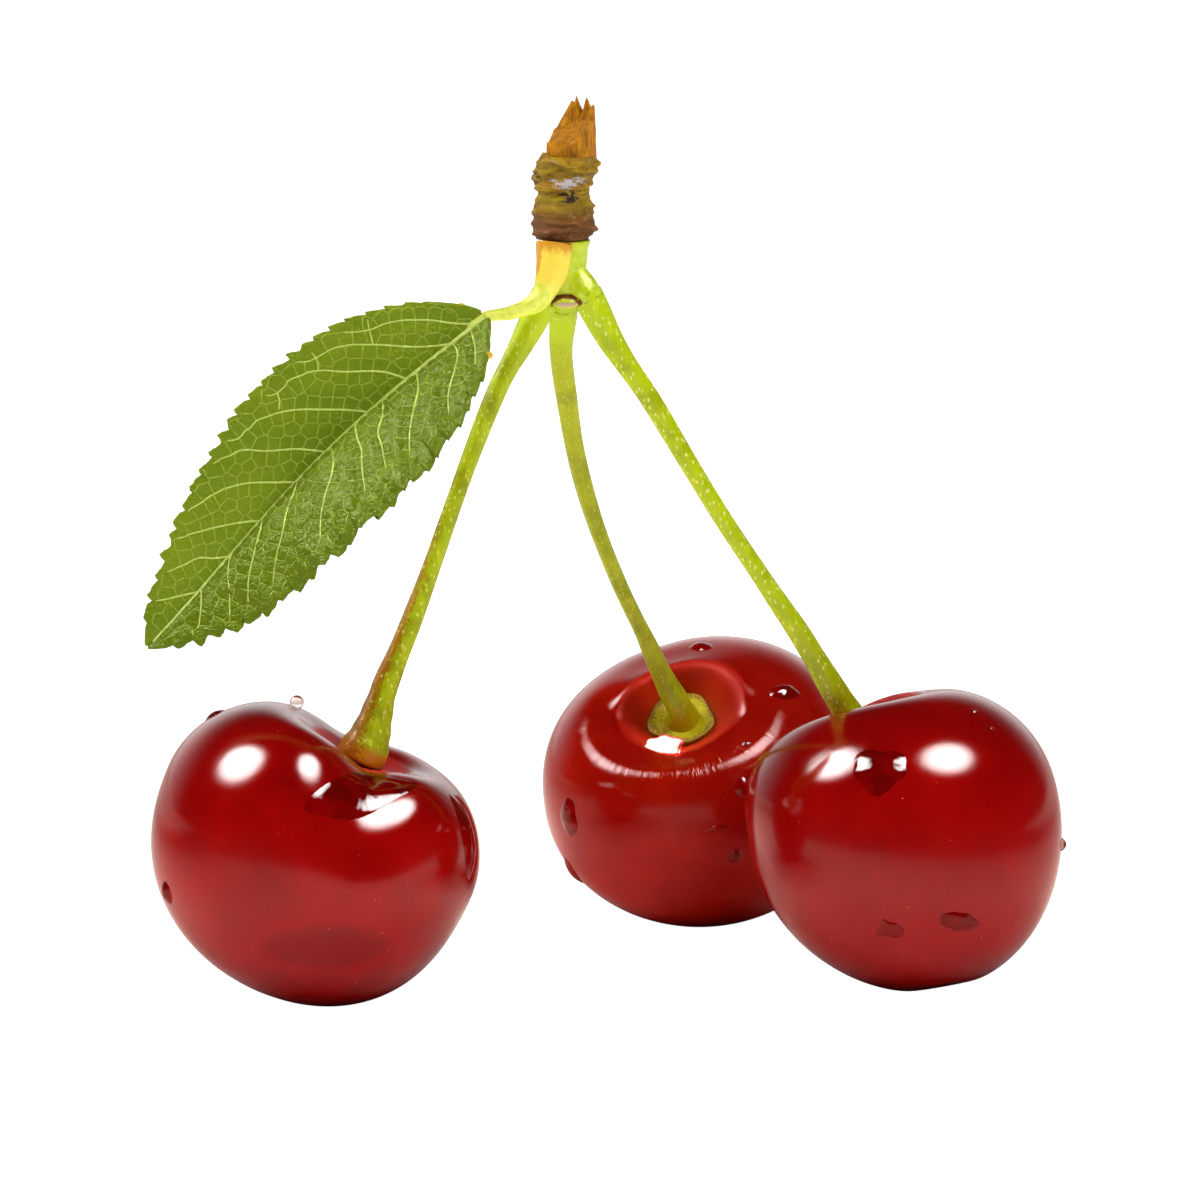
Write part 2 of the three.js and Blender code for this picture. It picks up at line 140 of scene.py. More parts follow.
def rough(points: Array, size: float, octaves: int, seed: float) -> Array:
    """Fractal noise at points, about -1 to 1.

    Args:
        points: Places in millimetres.
        size: Size of the largest lumps, in millimetres.
        octaves: How many finer layers lie on them.
        seed: Shifts the pattern.

    Returns:
        One number a point.
    """
    shift = Vector((seed * 7.3, seed * 3.1, seed * 5.7))
    return np.array([noise.fractal(Vector(p) / size + shift, 0.9, 2.1, octaves) for p in points.tolist()])


@dataclass(frozen=True)
class Path:
    """A smooth curve through points, walked by the share of its length.

    Attributes:
        points: The points that it passes through.
        stretch_points: How many points are worked out between two of them.
        walk_points: How many evenly spaced points the walk has.
    """

    points: tuple[tuple[float, float, float], ...]
    stretch_points: int = 60
    walk_points: int = 400

    def walk(self) -> Array:
        """Close points along the curve, evenly spaced."""
        stops = np.array(self.points, dtype=float)
        stops = np.vstack([2 * stops[0] - stops[1], stops, 2 * stops[-1] - stops[-2]])
        share = np.linspace(0, 1, self.stretch_points)[:, None]
        pieces = []
        for before, start, end, after in zip(stops, stops[1:], stops[2:], stops[3:]):
            knots = (before, start, end, after)
            first, middle, last = (np.linalg.norm(b - a) for a, b in zip(knots, knots[1:]))
            leave = (start - before) / first - (end - before) / (first + middle) + (end - start) / middle
            reach = (end - start) / middle - (after - start) / (middle + last) + (after - end) / last
            leave, reach = leave * middle, reach * middle
            curve = start + leave * share + (3 * (end - start) - 2 * leave - reach) * share**2
            pieces.append(curve + (2 * (start - end) + leave + reach) * share**3)
        line = np.vstack([pieces[0][:1]] + [piece[1:] for piece in pieces])
        gone = gone_along(line)
        return read_between(np.linspace(0, gone[-1], self.walk_points), gone, line)

    def frames(self, shares: Array) -> tuple[Array, Array, Array, Array]:
        """Points with a frame that doesn't twist.

        Args:
            shares: Shares of the length.

        Returns:
            The points, and the normal, binormal and tangent at each.
        """
        line = self.walk()
        ahead = unit(np.gradient(line, axis=0))
        normal = unit(np.cross(ahead[0], np.cross([0.0, -1.0, 0.0], ahead[0])))
        normals = []
        for tangent in ahead:
            normal = unit(normal - tangent * (normal @ tangent))
            normals.append(normal)
        gone = np.linspace(0, 1, len(line))
        tangents = unit(read_between(shares, gone, ahead))
        sideways = unit(read_between(shares, gone, np.array(normals)))
        return read_between(shares, gone, line), sideways, np.cross(sideways, tangents), tangents


# ---- Meshes --------------------------------------------------------------------------------------


def placed(points: Array) -> Array:
    """Points in metres in the row's frame, from millimetres in the solids' own."""
    return (points + ORIGIN) * MM


def vertices(piece: bpy.types.Object) -> Array:
    """The vertices of a piece, one row each."""
    flat = np.empty(len(piece.data.vertices) * 3)
    piece.data.vertices.foreach_get("co", flat)
    return flat.reshape(-1, 3)


def measured(piece: bpy.types.Object) -> Array:
    """The vertices of a piece, in millimetres from the solids' own origin."""
    return vertices(piece) / MM - ORIGIN


def set_vertices(piece: bpy.types.Object, points: Array) -> None:
    """Moves the vertices of a piece."""
    piece.data.vertices.foreach_set("co", points.astype(float).ravel())
    piece.data.update()


def note(piece: bpy.types.Object, name: str, values: Array) -> None:
    """Writes one number a vertex on a piece, for its finish to read."""
    piece.data.attributes.new(name, "FLOAT", "POINT").data.foreach_set("value", values.astype(float).ravel())


def noted(piece: bpy.types.Object, name: str) -> Array:
    """The numbers noted on a piece."""
    values = np.empty(len(piece.data.vertices))
    piece.data.attributes[name].data.foreach_get("value", values)
    return values


def choose(*pieces: bpy.types.Object) -> None:
    """Selects these pieces and nothing else, and makes the first of them active."""
    bpy.ops.object.select_all(action="DESELECT")
    for piece in pieces:
        piece.select_set(True)
    bpy.context.view_layer.objects.active = pieces[0]


def joined(pieces: Sequence[bpy.types.Object]) -> bpy.types.Object:
    """Several pieces made one."""
    choose(*pieces)
    if len(pieces) > 1:
        bpy.ops.object.join()
    return pieces[0]


def modify(piece: bpy.types.Object, kind: str, **settings: "str | float") -> None:
    """Gives a piece a modifier and applies it.

    Args:
        piece: The piece.
        kind: The modifier's type.
        **settings: The modifier's own settings, in the order in which they are set.
    """
    choose(piece)
    made = piece.modifiers.new(kind.lower(), kind)
    for name, setting in settings.items():
        setattr(made, name, setting)
    bpy.ops.object.modifier_apply(modifier=made.name)


def ball(segments: int, rings: int, shape: Shape) -> bpy.types.Object:
    """A closed round body: a sphere whose vertices are moved.

    Args:
        segments: Vertices round each ring.
        rings: Rings from the first pole to the last.
        shape: Takes the turn from the first pole and the compass angle, and gives places in millimetres.

    Returns:
        The body, at its place.
    """
    bpy.ops.object.select_all(action="DESELECT")
    bpy.ops.mesh.primitive_uv_sphere_add(segments=segments, ring_count=rings, radius=1, calc_uvs=True)
    piece = bpy.context.object
    start = vertices(piece)
    turn = np.arccos(np.clip(start[:, 2], -1, 1))
    set_vertices(piece, placed(shape(turn, np.arctan2(start[:, 1], start[:, 0]))))
    bpy.ops.object.shade_smooth()
    return piece


@dataclass(frozen=True)
class Stem:
    """A round stem along a path, with domed ends."""

    path: Path
    radius: Callable[[Array, Array], Array]
    sides: int = 32
    rows: int = 120
    domes: tuple[float, float] = (0.0, 0.0)
    dome_rows: int = 5

    def spread(self, turn: Array) -> tuple[Array, Array, Array]:
        """Where each ring stands.

        Args:
            turn: The turn of each vertex on the sphere that the stem is made from.

        Returns:
            The share of the length gone, how much of the radius is reached, and the bulge past the end.
        """
        ring = turn / math.pi * self.rows
        share = np.clip((ring - self.dome_rows) / (self.rows - 2 * self.dome_rows), 0, 1)
        near = np.clip(ring / self.dome_rows, 0, 1) * math.pi / 2
        far = np.clip((self.rows - ring) / self.dome_rows, 0, 1) * math.pi / 2
        return share, np.sin(near) * np.sin(far), self.domes[1] * np.cos(far) - self.domes[0] * np.cos(near)

    def place(self, turn: Array, compass: Array) -> Array:
        """The place of each vertex, in millimetres."""
        share, reach, bulge = self.spread(turn)
        points, normals, binormals, tangents = self.path.frames(share)
        out = (self.radius(share, compass) * reach)[:, None]
        return (
            points
            + tangents * bulge[:, None]
            + normals * out * np.cos(compass)[:, None]
            + binormals * out * np.sin(compass)[:, None]
        )

    def build(self) -> bpy.types.Object:
        """The stem as a piece, with the share gone noted on its vertices as "along"."""
        shares: list[Array] = []

        def shape(turn: Array, compass: Array) -> Array:
            shares.append(self.spread(turn)[0])
            return self.place(turn, compass)

        piece = ball(self.sides, self.rows, shape)
        note(piece, "along", shares[0])
        return piece


# ---- Shader maths --------------------------------------------------------------------------------


@dataclass(frozen=True)
class Value:
    """A socket that takes part in arithmetic. Each operation adds its Math node."""

    graph: "Graph"
    socket: bpy.types.NodeSocket

    def math(self, operation: str, other: "Value | float") -> "Value":
        """The result of one Math node on this value and another."""
        return self.graph.node("ShaderNodeMath", {"operation": operation}, {0: self, 1: other})

    def __add__(self, other: "Value | float") -> "Value":
        """self + other."""
        return self.math("ADD", other)

    __radd__ = __add__

    def __mul__(self, other: "Value | float") -> "Value":
        """self * other."""
        return self.math("MULTIPLY", other)

    __rmul__ = __mul__

    def __sub__(self, other: "Value | float") -> "Value":
        """self - other."""
        return self.math("SUBTRACT", other)

    def __rsub__(self, other: float) -> "Value":
        """other - self."""
        return self.graph.node("ShaderNodeMath", {"operation": "SUBTRACT"}, {0: other, 1: self})

    def smooth(self, low: float, high: float) -> "Value":
        """0 at low, 1 at high, and a smooth step between them. low may be over high."""
        swap = low > high
        inputs = {"Value": self, "From Min": min(low, high), "From Max": max(low, high)}
        inputs |= {"To Min": float(swap), "To Max": float(not swap)}
        return self.graph.node("ShaderNodeMapRange", {"interpolation_type": "SMOOTHSTEP"}, inputs)


class Ray(Enum):
    """The kinds of light ray that a shader tells apart, as outputs of the light path."""

    CAMERA = 0
    GLOSSY = 3


class Graph:
    """The nodes of one material or world, joined as they are made."""

    def __init__(self, tree: bpy.types.NodeTree) -> None:
        """Starts with no nodes in the tree."""
        self.tree = tree
        tree.nodes.clear()

    def node(
        self, kind: str, settings: dict | None = None, inputs: dict | None = None, output: int = 0
    ) -> Value:
        """Adds a node.

        Args:
            kind: The node's type.
            settings: Its own settings, which are set first. "stops" holds a ramp's places and colours.
            inputs: Values or links of its sockets, by name or number.
            output: Which output is given back.

        Returns:
            One of its outputs.
        """
        made = self.tree.nodes.new(kind)
        for name, setting in (settings or {}).items():
            if name == "stops":
                for _ in setting[2:]:
                    made.color_ramp.elements.new(0.5)
                for element, (place, colour) in zip(made.color_ramp.elements, setting):
                    element.position, element.color = place, colour
            else:
                setattr(made, name, setting)
        for name, value in (inputs or {}).items():
            if isinstance(value, Value):
                self.tree.links.new(value.socket, made.inputs[name])
            else:
                made.inputs[name].default_value = value
        return Value(self, made.outputs[output] if made.outputs else None)

    def note(self, name: str) -> Value:
        """A number noted on the piece's vertices."""
        return self.node("ShaderNodeAttribute", {"attribute_name": name}, output=2)

    def place(self, stretch: tuple[float, float, float] = (1, 1, 1)) -> Value:
        """The place on the piece in millimetres, stretched along each axis."""
        spot = self.node("ShaderNodeTexCoord", output=3)
        scale = tuple(part / MM for part in stretch)
        return self.node("ShaderNodeMapping", inputs={"Vector": spot, "Scale": scale})

    def map(self, across: float, along: float) -> Value:
        """The place on the piece's own UV map, stretched."""
        spot = self.node("ShaderNodeUVMap", {"uv_map": "UVMap"})
        return self.node("ShaderNodeMapping", inputs={"Vector": spot, "Scale": (across, along, 1)})

    def ray(self, kind: Ray) -> Value:
        """1 for rays of this kind, and 0 for the others."""
        return self.node("ShaderNodeLightPath", output=kind.value)

    def noise(self, at: Value, scale: float, detail: float = 3, roughness: float = 0.5) -> Value:
        """Soft noise from 0 to 1 with so many lumps a unit."""
        inputs = {"Vector": at, "Scale": scale, "Detail": detail, "Roughness": roughness}
        return self.node("ShaderNodeTexNoise", inputs=inputs)

    def cells(self, at: Value, scale: float, feature: str = "F1") -> Value:
        """The distance in a pattern of cells, as a share of their size."""
        return self.node("ShaderNodeTexVoronoi", {"feature": feature}, {"Vector": at, "Scale": scale})

    def mix(self, first: "Value | Colour", second: "Value | Colour", share: "Value | float") -> Value:
        """A colour between two."""
        inputs = {0: share, 6: first, 7: second}
        return self.node("ShaderNodeMix", {"data_type": "RGBA"}, inputs, output=2)

    def compared(self, operation: str, first: Value, second: Sequence[float]) -> Value:
        """A number worked out from a vector and a fixed one."""
        inputs = {0: first, 1: tuple(second)}
        return self.node("ShaderNodeVectorMath", {"operation": operation}, inputs, output=1)

    def dot(self, first: Value, second: Sequence[float]) -> Value:
        """The dot product with a fixed direction."""
        return self.compared("DOT_PRODUCT", first, second)

    def distance(self, first: Value, second: Sequence[float]) -> Value:
        """How far a place is from a fixed one."""
        return self.compared("DISTANCE", first, second)

    def bump(self, height: Value, depth: float, under: Value | None = None) -> Value:
        """A normal bent by a height from 0 to 1 that stands depth millimetres high."""
        inputs = {"Height": height, "Distance": depth * MM}
        return self.node("ShaderNodeBump", inputs=inputs | ({"Normal": under} if under else {}))


class Surface(Graph):
    """A material with one Principled shader."""

    def __init__(self, name: str) -> None:
        """Starts an empty material of this name."""
        self.material = bpy.data.materials.new(name)
        self.material.use_nodes = True
        super().__init__(self.material.node_tree)

    def finish(self, **inputs: "Value | float | Colour") -> bpy.types.Material:
        """Joins the Principled shader to the output.

        Args:
            **inputs: The shader's sockets, with _ for each space in their names.

        Returns:
            The material.
        """
        sockets = {name.replace("_", " "): value for name, value in inputs.items()}
        shader = self.node("ShaderNodeBsdfPrincipled", inputs=sockets)
        self.node("ShaderNodeOutputMaterial", inputs={"Surface": shader})
        return self.material


# ---- Finishes ------------------------------------------------------------------------------------


@dataclass(frozen=True)
class Skin:
    """The glossy, faintly see-through skin of a cherry, with its pale breathing pores."""

    name: str
    deep: Colour
    bright: Colour
    painted_underlight: Colour
    cavity: Colour
    ring: Colour
    pore: Colour = paint(236, 110, 70)
    ring_share: float = 0.25
    streaked: float = 0.0
    gleam: float = 0.5

    def material(self) -> bpy.types.Material:
        """The skin's material. It reads the noted "turn", "reach", "lip" and "patch", or 0 without one."""
        s = Surface(self.name)
        spot = s.place()
        streaks = s.noise(s.map(26, 1.2), 1, 4, 0.6)
        clouds = s.noise(spot, 0.16, 3, 0.55)
        fine = s.noise(spot, 2.2, 3, 0.6)
        colour = s.mix(self.deep, self.bright, (clouds * 0.8 + fine * 0.2).smooth(0.22, 0.8))
        # Painted light: the lower half is painted lighter, as if lit by the pale floor under it.
        low = s.note("turn").smooth(0.42, 0.8)
        colour = s.mix(colour, self.painted_underlight, low * streaks.smooth(0.25, 0.75) * 0.7)
        reach = s.note("reach")
        colour = s.mix(colour, self.ring, (reach + streaks * 1.6).smooth(5.2, 2.2) * self.ring_share)
        colour = s.mix(colour, self.cavity, (reach + fine * 0.8).smooth(2.9, 1.9) * 0.7)
        # Painted shadow: a dark oval on the side, in the cavity's colour, standing for the floor's shadow
        # mirrored in the skin.
        colour = s.mix(colour, self.cavity, s.note("patch") * 0.4)
        shown = s.noise(spot, 0.7, 1).smooth(0.4, 0.62)
        dots = s.cells(spot, 1.05).smooth(0.075, 0.035) * shown
        small = s.cells(s.place((1.1, 0.93, 1.05)), 2.1).smooth(0.075, 0.03) * 0.4
        colour = s.mix(colour, self.pore, dots * 0.6 + small * 0.45)
        lip = s.note("lip")
        bent = s.bump(dots * -1.0 + fine * 0.35, 0.012)
        if self.streaked:
            wrinkles = s.noise(s.map(280, 3), 1, 2, 0.5)
            bent = s.bump(wrinkles * lip, self.streaked, under=bent)
        return s.finish(
            Base_Color=colour,
            Roughness=fine * 0.05 + 0.11 + lip * 0.05 + reach.smooth(4.5, 3.6) * 0.45,
            IOR=1.38,
            Specular_IOR_Level=self.gleam,
            Subsurface_Weight=0.22,
            Subsurface_Radius=(1.0, 0.12, 0.06),
            Subsurface_Scale=0.0012,
            Normal=bent,
        )


@dataclass(frozen=True)
class Water:
    """Clear water standing on the skin."""

    name: str = "water"

    def material(self) -> bpy.types.Material:
        """Clear water with a hint of unevenness in its surface."""
        s = Surface(self.name)
        swell = s.noise(s.place(), 1.4, 2)
        return s.finish(
            Base_Color=s.mix(WHITE, paint(250, 240, 238), swell),
            Roughness=0.0,
            IOR=1.333,
            Transmission_Weight=1.0,
            Normal=s.bump(swell, 0.01),
        )


@dataclass(frozen=True)
class WetSkin:
    """Skin seen through a thin film of water: darker, and a sharper mirror than the dry skin."""

    name: str
    deep: Colour

    def material(self) -> bpy.types.Material:
        """The film's material."""
        s = Surface(self.name)
        swell = s.noise(s.place(), 0.55, 2)
        dark = s.mix(self.deep, paint(40, 4, 2), 0.45)
        return s.finish(
            Base_Color=s.mix(dark, self.deep, swell.smooth(0.35, 0.65)),
            Roughness=0.02,
            IOR=1.36,
            Normal=s.bump(swell, 0.12),
        )


@dataclass(frozen=True)
class StalkGreen:
    """Green stalk rind with pale speckles, a brown blush, and a foot of its own colour."""

    name: str
    green: Colour
    light: Colour
    shade: Colour
    speck: Colour
    blush: Colour
    foot: Colour
    speckled: float = 0.6
    dull: float = 0.3

    def material(self) -> bpy.types.Material:
        """The rind's material. It reads the noted "blush", "foot" and "fresh", or 0 without one."""
        s = Surface(self.name)
        spot, grain = s.place(), s.place((1, 1, 0.55))
        patchy = s.noise(spot, 0.45, 3, 0.6)
        streaks = s.noise(s.place((1, 1, 0.2)), 2.4, 3, 0.6)
        colour = s.mix(self.shade, self.green, patchy.smooth(0.3, 0.6))
        colour = s.mix(colour, LIME, s.note("fresh"))
        colour = s.mix(colour, self.light, streaks.smooth(0.5, 0.75) * 0.6)
        fine = s.noise(grain, 5.5, 3, 0.7)
        dots = s.cells(grain, 3.0).smooth(0.34, 0.14) * s.noise(spot, 1.1, 1).smooth(0.2, 0.45)
        colour = s.mix(colour, self.speck, dots * self.speckled)
        colour = s.mix(colour, self.foot, (s.note("foot") + fine * 0.5 - 0.25).smooth(0.2, 0.8))
        browned = s.note("blush") * 1.05 + fine * 2.6 - 1.3 - dots * 0.3
        colour = s.mix(colour, self.blush, browned.smooth(0.4, 0.85) * 0.85)
        return s.finish(
            Base_Color=colour,
            Roughness=patchy * 0.15 + self.dull,
            Specular_IOR_Level=0.35,
            Subsurface_Weight=0.12,
            Subsurface_Radius=(1.0, 0.9, 0.25),
            Subsurface_Scale=0.0004,
            Normal=s.bump(dots * 0.6 + streaks * 0.7 + fine * 0.5, 0.05),
        )


@dataclass(frozen=True)
class Blade:
    """One face of the leaf, with a fine net of veins between the modelled ones."""

    name: str
    green: Colour
    fresh: Colour
    edge: Colour
    net: Colour
    gloss: float
    relief: float
    shade: Colour

    def material(self) -> bpy.types.Material:
        """The face's material. It reads the noted "main", "net", "edge" and "side"."""
        s = Surface(self.name)
        spot, side = s.place(), s.note("side")
        clouds = s.noise(spot, 0.12, 3, 0.6)
        grain = s.noise(spot, 5, 3, 0.65)
        colour = s.mix(self.green, self.fresh, clouds.smooth(0.3, 0.7))
        colour = s.mix(colour, self.fresh, s.note("main").smooth(0.9, 0.1) * 0.35)
        mesh = s.cells(spot, 2.6, "DISTANCE_TO_EDGE")
        veins = mesh.smooth(0.09, 0.02) * 0.15 + s.note("net").smooth(0.16, 0.03) * 0.2
        colour = s.mix(colour, self.net, veins)
        colour = s.mix(colour, self.edge, s.note("edge").smooth(0.97, 1.0) * 0.4)
        # Painted shade: the lower half, which faces the lamps more, is painted darker in clouds, and grain
        # darkens the whole face at random.
        half_shade_and_grain = side * clouds.smooth(0.2, 0.5) * 0.6 + grain.smooth(0.5, 0.8) * 0.25
        colour = s.mix(colour, self.shade, half_shade_and_grain)
        swell = mesh.smooth(0.0, 0.3)
        return s.finish(
            Base_Color=colour,
            Roughness=clouds * 0.12 + grain * 0.1 - side * 0.08 + self.gloss,
            Specular_IOR_Level=0.16,
            Subsurface_Weight=0.1,
            Subsurface_Radius=(0.6, 1.0, 0.2),
            Subsurface_Scale=0.0003,
            Normal=s.bump(swell * 0.8 + grain * 0.35, self.relief),
        )


@dataclass(frozen=True)
class Rib:
    """Pale vein tissue, from the leaf stalk to the finest vein."""

    name: str
    pale: Colour
    green: Colour
    gold: Colour = paint(226, 196, 60)
    amber: Colour = paint(226, 190, 60)

    def material(self) -> bpy.types.Material:
        """The rib's material. It reads the noted "gold" and "amber", or 0 without one."""
        s = Surface(self.name)
        fine = s.noise(s.place(), 2.5, 3, 0.6)
        amber = (s.note("amber") + s.noise(s.place(), 1.6, 4, 0.65) * 1.2 - 0.6).smooth(0.3, 0.9)
        colour = s.mix(self.green, self.pale, fine.smooth(0.3, 0.65))
        gold = (s.note("gold") + fine * 0.5 - 0.25).smooth(0.2, 0.8)
        colour = s.mix(colour, s.mix(self.gold, self.amber, amber * 0.8), gold)
        return s.finish(
            Base_Color=colour,
            Roughness=fine * 0.12 + 0.36,
            Specular_IOR_Level=0.35,
            Subsurface_Weight=0.15,
            Subsurface_Radius=(1.0, 0.9, 0.3),
            Subsurface_Scale=0.0004,
            Normal=s.bump(fine, 0.03),
        )


@dataclass(frozen=True)
class CollarRind:
    """The fresh green rind under the bark, yellow above and browned along its old scars."""

    name: str = "collar_rind"
    lime: Colour = LIME
    pale: Colour = paint(236, 238, 130)
    gold: Colour = paint(226, 150, 10)
    brown: Colour = paint(112, 58, 8)
    wood: Colour = paint(196, 164, 128)

    def material(self) -> bpy.types.Material:
        """The rind's material. It reads the noted "gold", "brown" and "wood"."""
        s = Surface(self.name)
        fine = s.noise(s.place(), 2.4, 4, 0.62)
        dots = s.cells(s.place(), 2.0).smooth(0.26, 0.1)
        colour = s.mix(self.lime, self.pale, fine.smooth(0.45, 0.8) * 0.5 + dots * 0.3)
        colour = s.mix(colour, self.gold, (s.note("gold") + fine * 0.6 - 0.3).smooth(0.2, 0.8))
        colour = s.mix(colour, self.brown, (s.note("brown") + fine * 0.5 - 0.25).smooth(0.3, 0.7))
        colour = s.mix(colour, self.wood, (s.note("wood") + fine * 0.3 - 0.15).smooth(0.35, 0.65))
        return s.finish(
            Base_Color=colour,
            Roughness=fine * 0.2 + 0.28,
            Subsurface_Weight=0.12,
            Subsurface_Radius=(1.0, 0.9, 0.25),
            Subsurface_Scale=0.0004,
            Normal=s.bump(fine + dots * 0.3, 0.06),
        )


@dataclass(frozen=True)
class Bark:
    """Ringed spur bark: olive and gold in the hollows, brown and grey on the lips, with painted shade between
    the lips.
    """

    name: str = "spur_bark"

    def material(self) -> bpy.types.Material:
        """The bark's material. It reads the noted "crest", "level", "pale" and "dark"."""
        s = Surface(self.name)
        spot, bands = s.place(), s.place((1, 1, 2.6))
        large, fine = s.noise(spot, 0.55, 3, 0.6), s.noise(bands, 1.6, 5, 0.68)
        stops = [
            (0.0, paint(122, 74, 34)),
            (0.25, paint(150, 92, 40)),
            (0.4, paint(190, 150, 24)),
            (0.52, paint(206, 176, 14)),
            (0.66, paint(196, 142, 28)),
            (0.82, paint(184, 150, 10)),
            (1.0, paint(206, 158, 24)),
        ]
        level, crest = s.note("level"), s.note("crest")
        zone = s.node("ShaderNodeValToRGB", {"stops": stops}, {0: level + fine * 0.3 - 0.15})
        colour = s.mix(zone, paint(112, 66, 20), fine.smooth(0.5, 0.66) * 0.75)
        colour = s.mix(colour, paint(240, 206, 110), fine.smooth(0.44, 0.28) * 0.7)
        # Painted shade: darker down in the hollows between the lips.
        colour = s.mix(colour, paint(92, 58, 20), crest.smooth(0.3, 0.0) * 0.4)
        lips = crest.smooth(0.72, 1.0) * large.smooth(0.48, 0.65) * 0.7
        colour = s.mix(colour, paint(190, 164, 140), lips)
        torn = s.noise(bands, 1.3, 5, 0.7).smooth(0.4, 0.6)
        colour = s.mix(colour, paint(222, 214, 214), (s.note("pale") * torn).smooth(0.15, 0.5))
        colour = s.mix(colour, paint(58, 42, 40), (s.note("dark") * torn).smooth(0.12, 0.5))
        return s.finish(
            Base_Color=colour,
            Roughness=fine * 0.3 + 0.42,
            Specular_IOR_Level=0.3,
            Normal=s.bump(fine + s.noise(bands, 6, 4, 0.7) * 0.5, 0.42),
        )


@dataclass(frozen=True)
class TornFibre:
    """Wood torn along its grain, orange brown and darker down in the tear."""

    name: str = "torn_fibre"

    def material(self) -> bpy.types.Material:
        """The fibre's material. It reads the noted "depth"."""
        s = Surface(self.name)
        grain = s.noise(s.place((1, 1, 0.16)), 3.4, 5, 0.66)
        lumps = s.noise(s.place((1, 1, 0.5)), 1.1, 3, 0.6)
        colour = s.mix(paint(160, 92, 0), paint(208, 140, 4), grain.smooth(0.35, 0.62))
        colour = s.mix(colour, paint(244, 190, 40), grain.smooth(0.62, 0.78) * 0.7)
        colour = s.mix(colour, paint(112, 74, 2), lumps.smooth(0.48, 0.72) * 0.8)
        colour = s.mix(colour, paint(130, 76, 4), s.note("depth").smooth(0.2, 1.0) * 0.5)
        return s.finish(
            Base_Color=colour,
            Roughness=grain * 0.25 + 0.42,
            Specular_IOR_Level=0.25,
            Normal=s.bump(grain, 0.3),
        )


# ---- Studio --------------------------------------------------------------------------------------


@dataclass(frozen=True)
class Softbox:
    """A wide studio light. Glossy skins mirror its soft-edged face, and its lamp lights the rest."""

    name: str
    towards: tuple[float, float, float]
    half_width: float
    half_height: float
    brightness: float
    power: float
    distance: float = 1.0
    aim_height: float = 0.012
    tint: tuple[float, float, float] = (1.0, 0.985, 0.96)

    def axes(self) -> tuple[Vector, Vector, Vector]:
        """The directions to the light, and along its width and height."""
        away = Vector(self.towards).normalized()
        across = away.cross(Vector((0, 0, 1))).normalized()
        return away, across, across.cross(away)

    def face(self, g: Graph, way: Value) -> Value:
        """How much of the light is seen along a direction, from 0 to 1."""
        away, across, upright = self.axes()
        ahead = g.dot(way, away)
        wide = g.dot(way, across * (1 / math.tan(self.half_width)))
        tall = g.dot(way, upright * (1 / math.tan(self.half_height)))
        reach = (wide * wide + tall * tall).math("DIVIDE", ahead * ahead)
        return reach.smooth(1.9, 0.2) * ahead.smooth(0.0, 0.1)

    def build(self) -> None:
        """Hangs the lamp."""
        light = bpy.data.lights.new(self.name, "AREA")
        light.shape, light.energy = "ELLIPSE", self.power
        light.size, light.size_y = (2 * math.tan(part) for part in (self.half_width, self.half_height))
        holder = bpy.data.objects.new(self.name, light)
        bpy.context.scene.collection.objects.link(holder)
        away = self.axes()[0]
        holder.location = away * self.distance + Vector((0, 0, self.aim_height))
        holder.rotation_euler = away.to_track_quat("Z", "Y").to_euler()
        holder.visible_camera = holder.visible_glossy = False


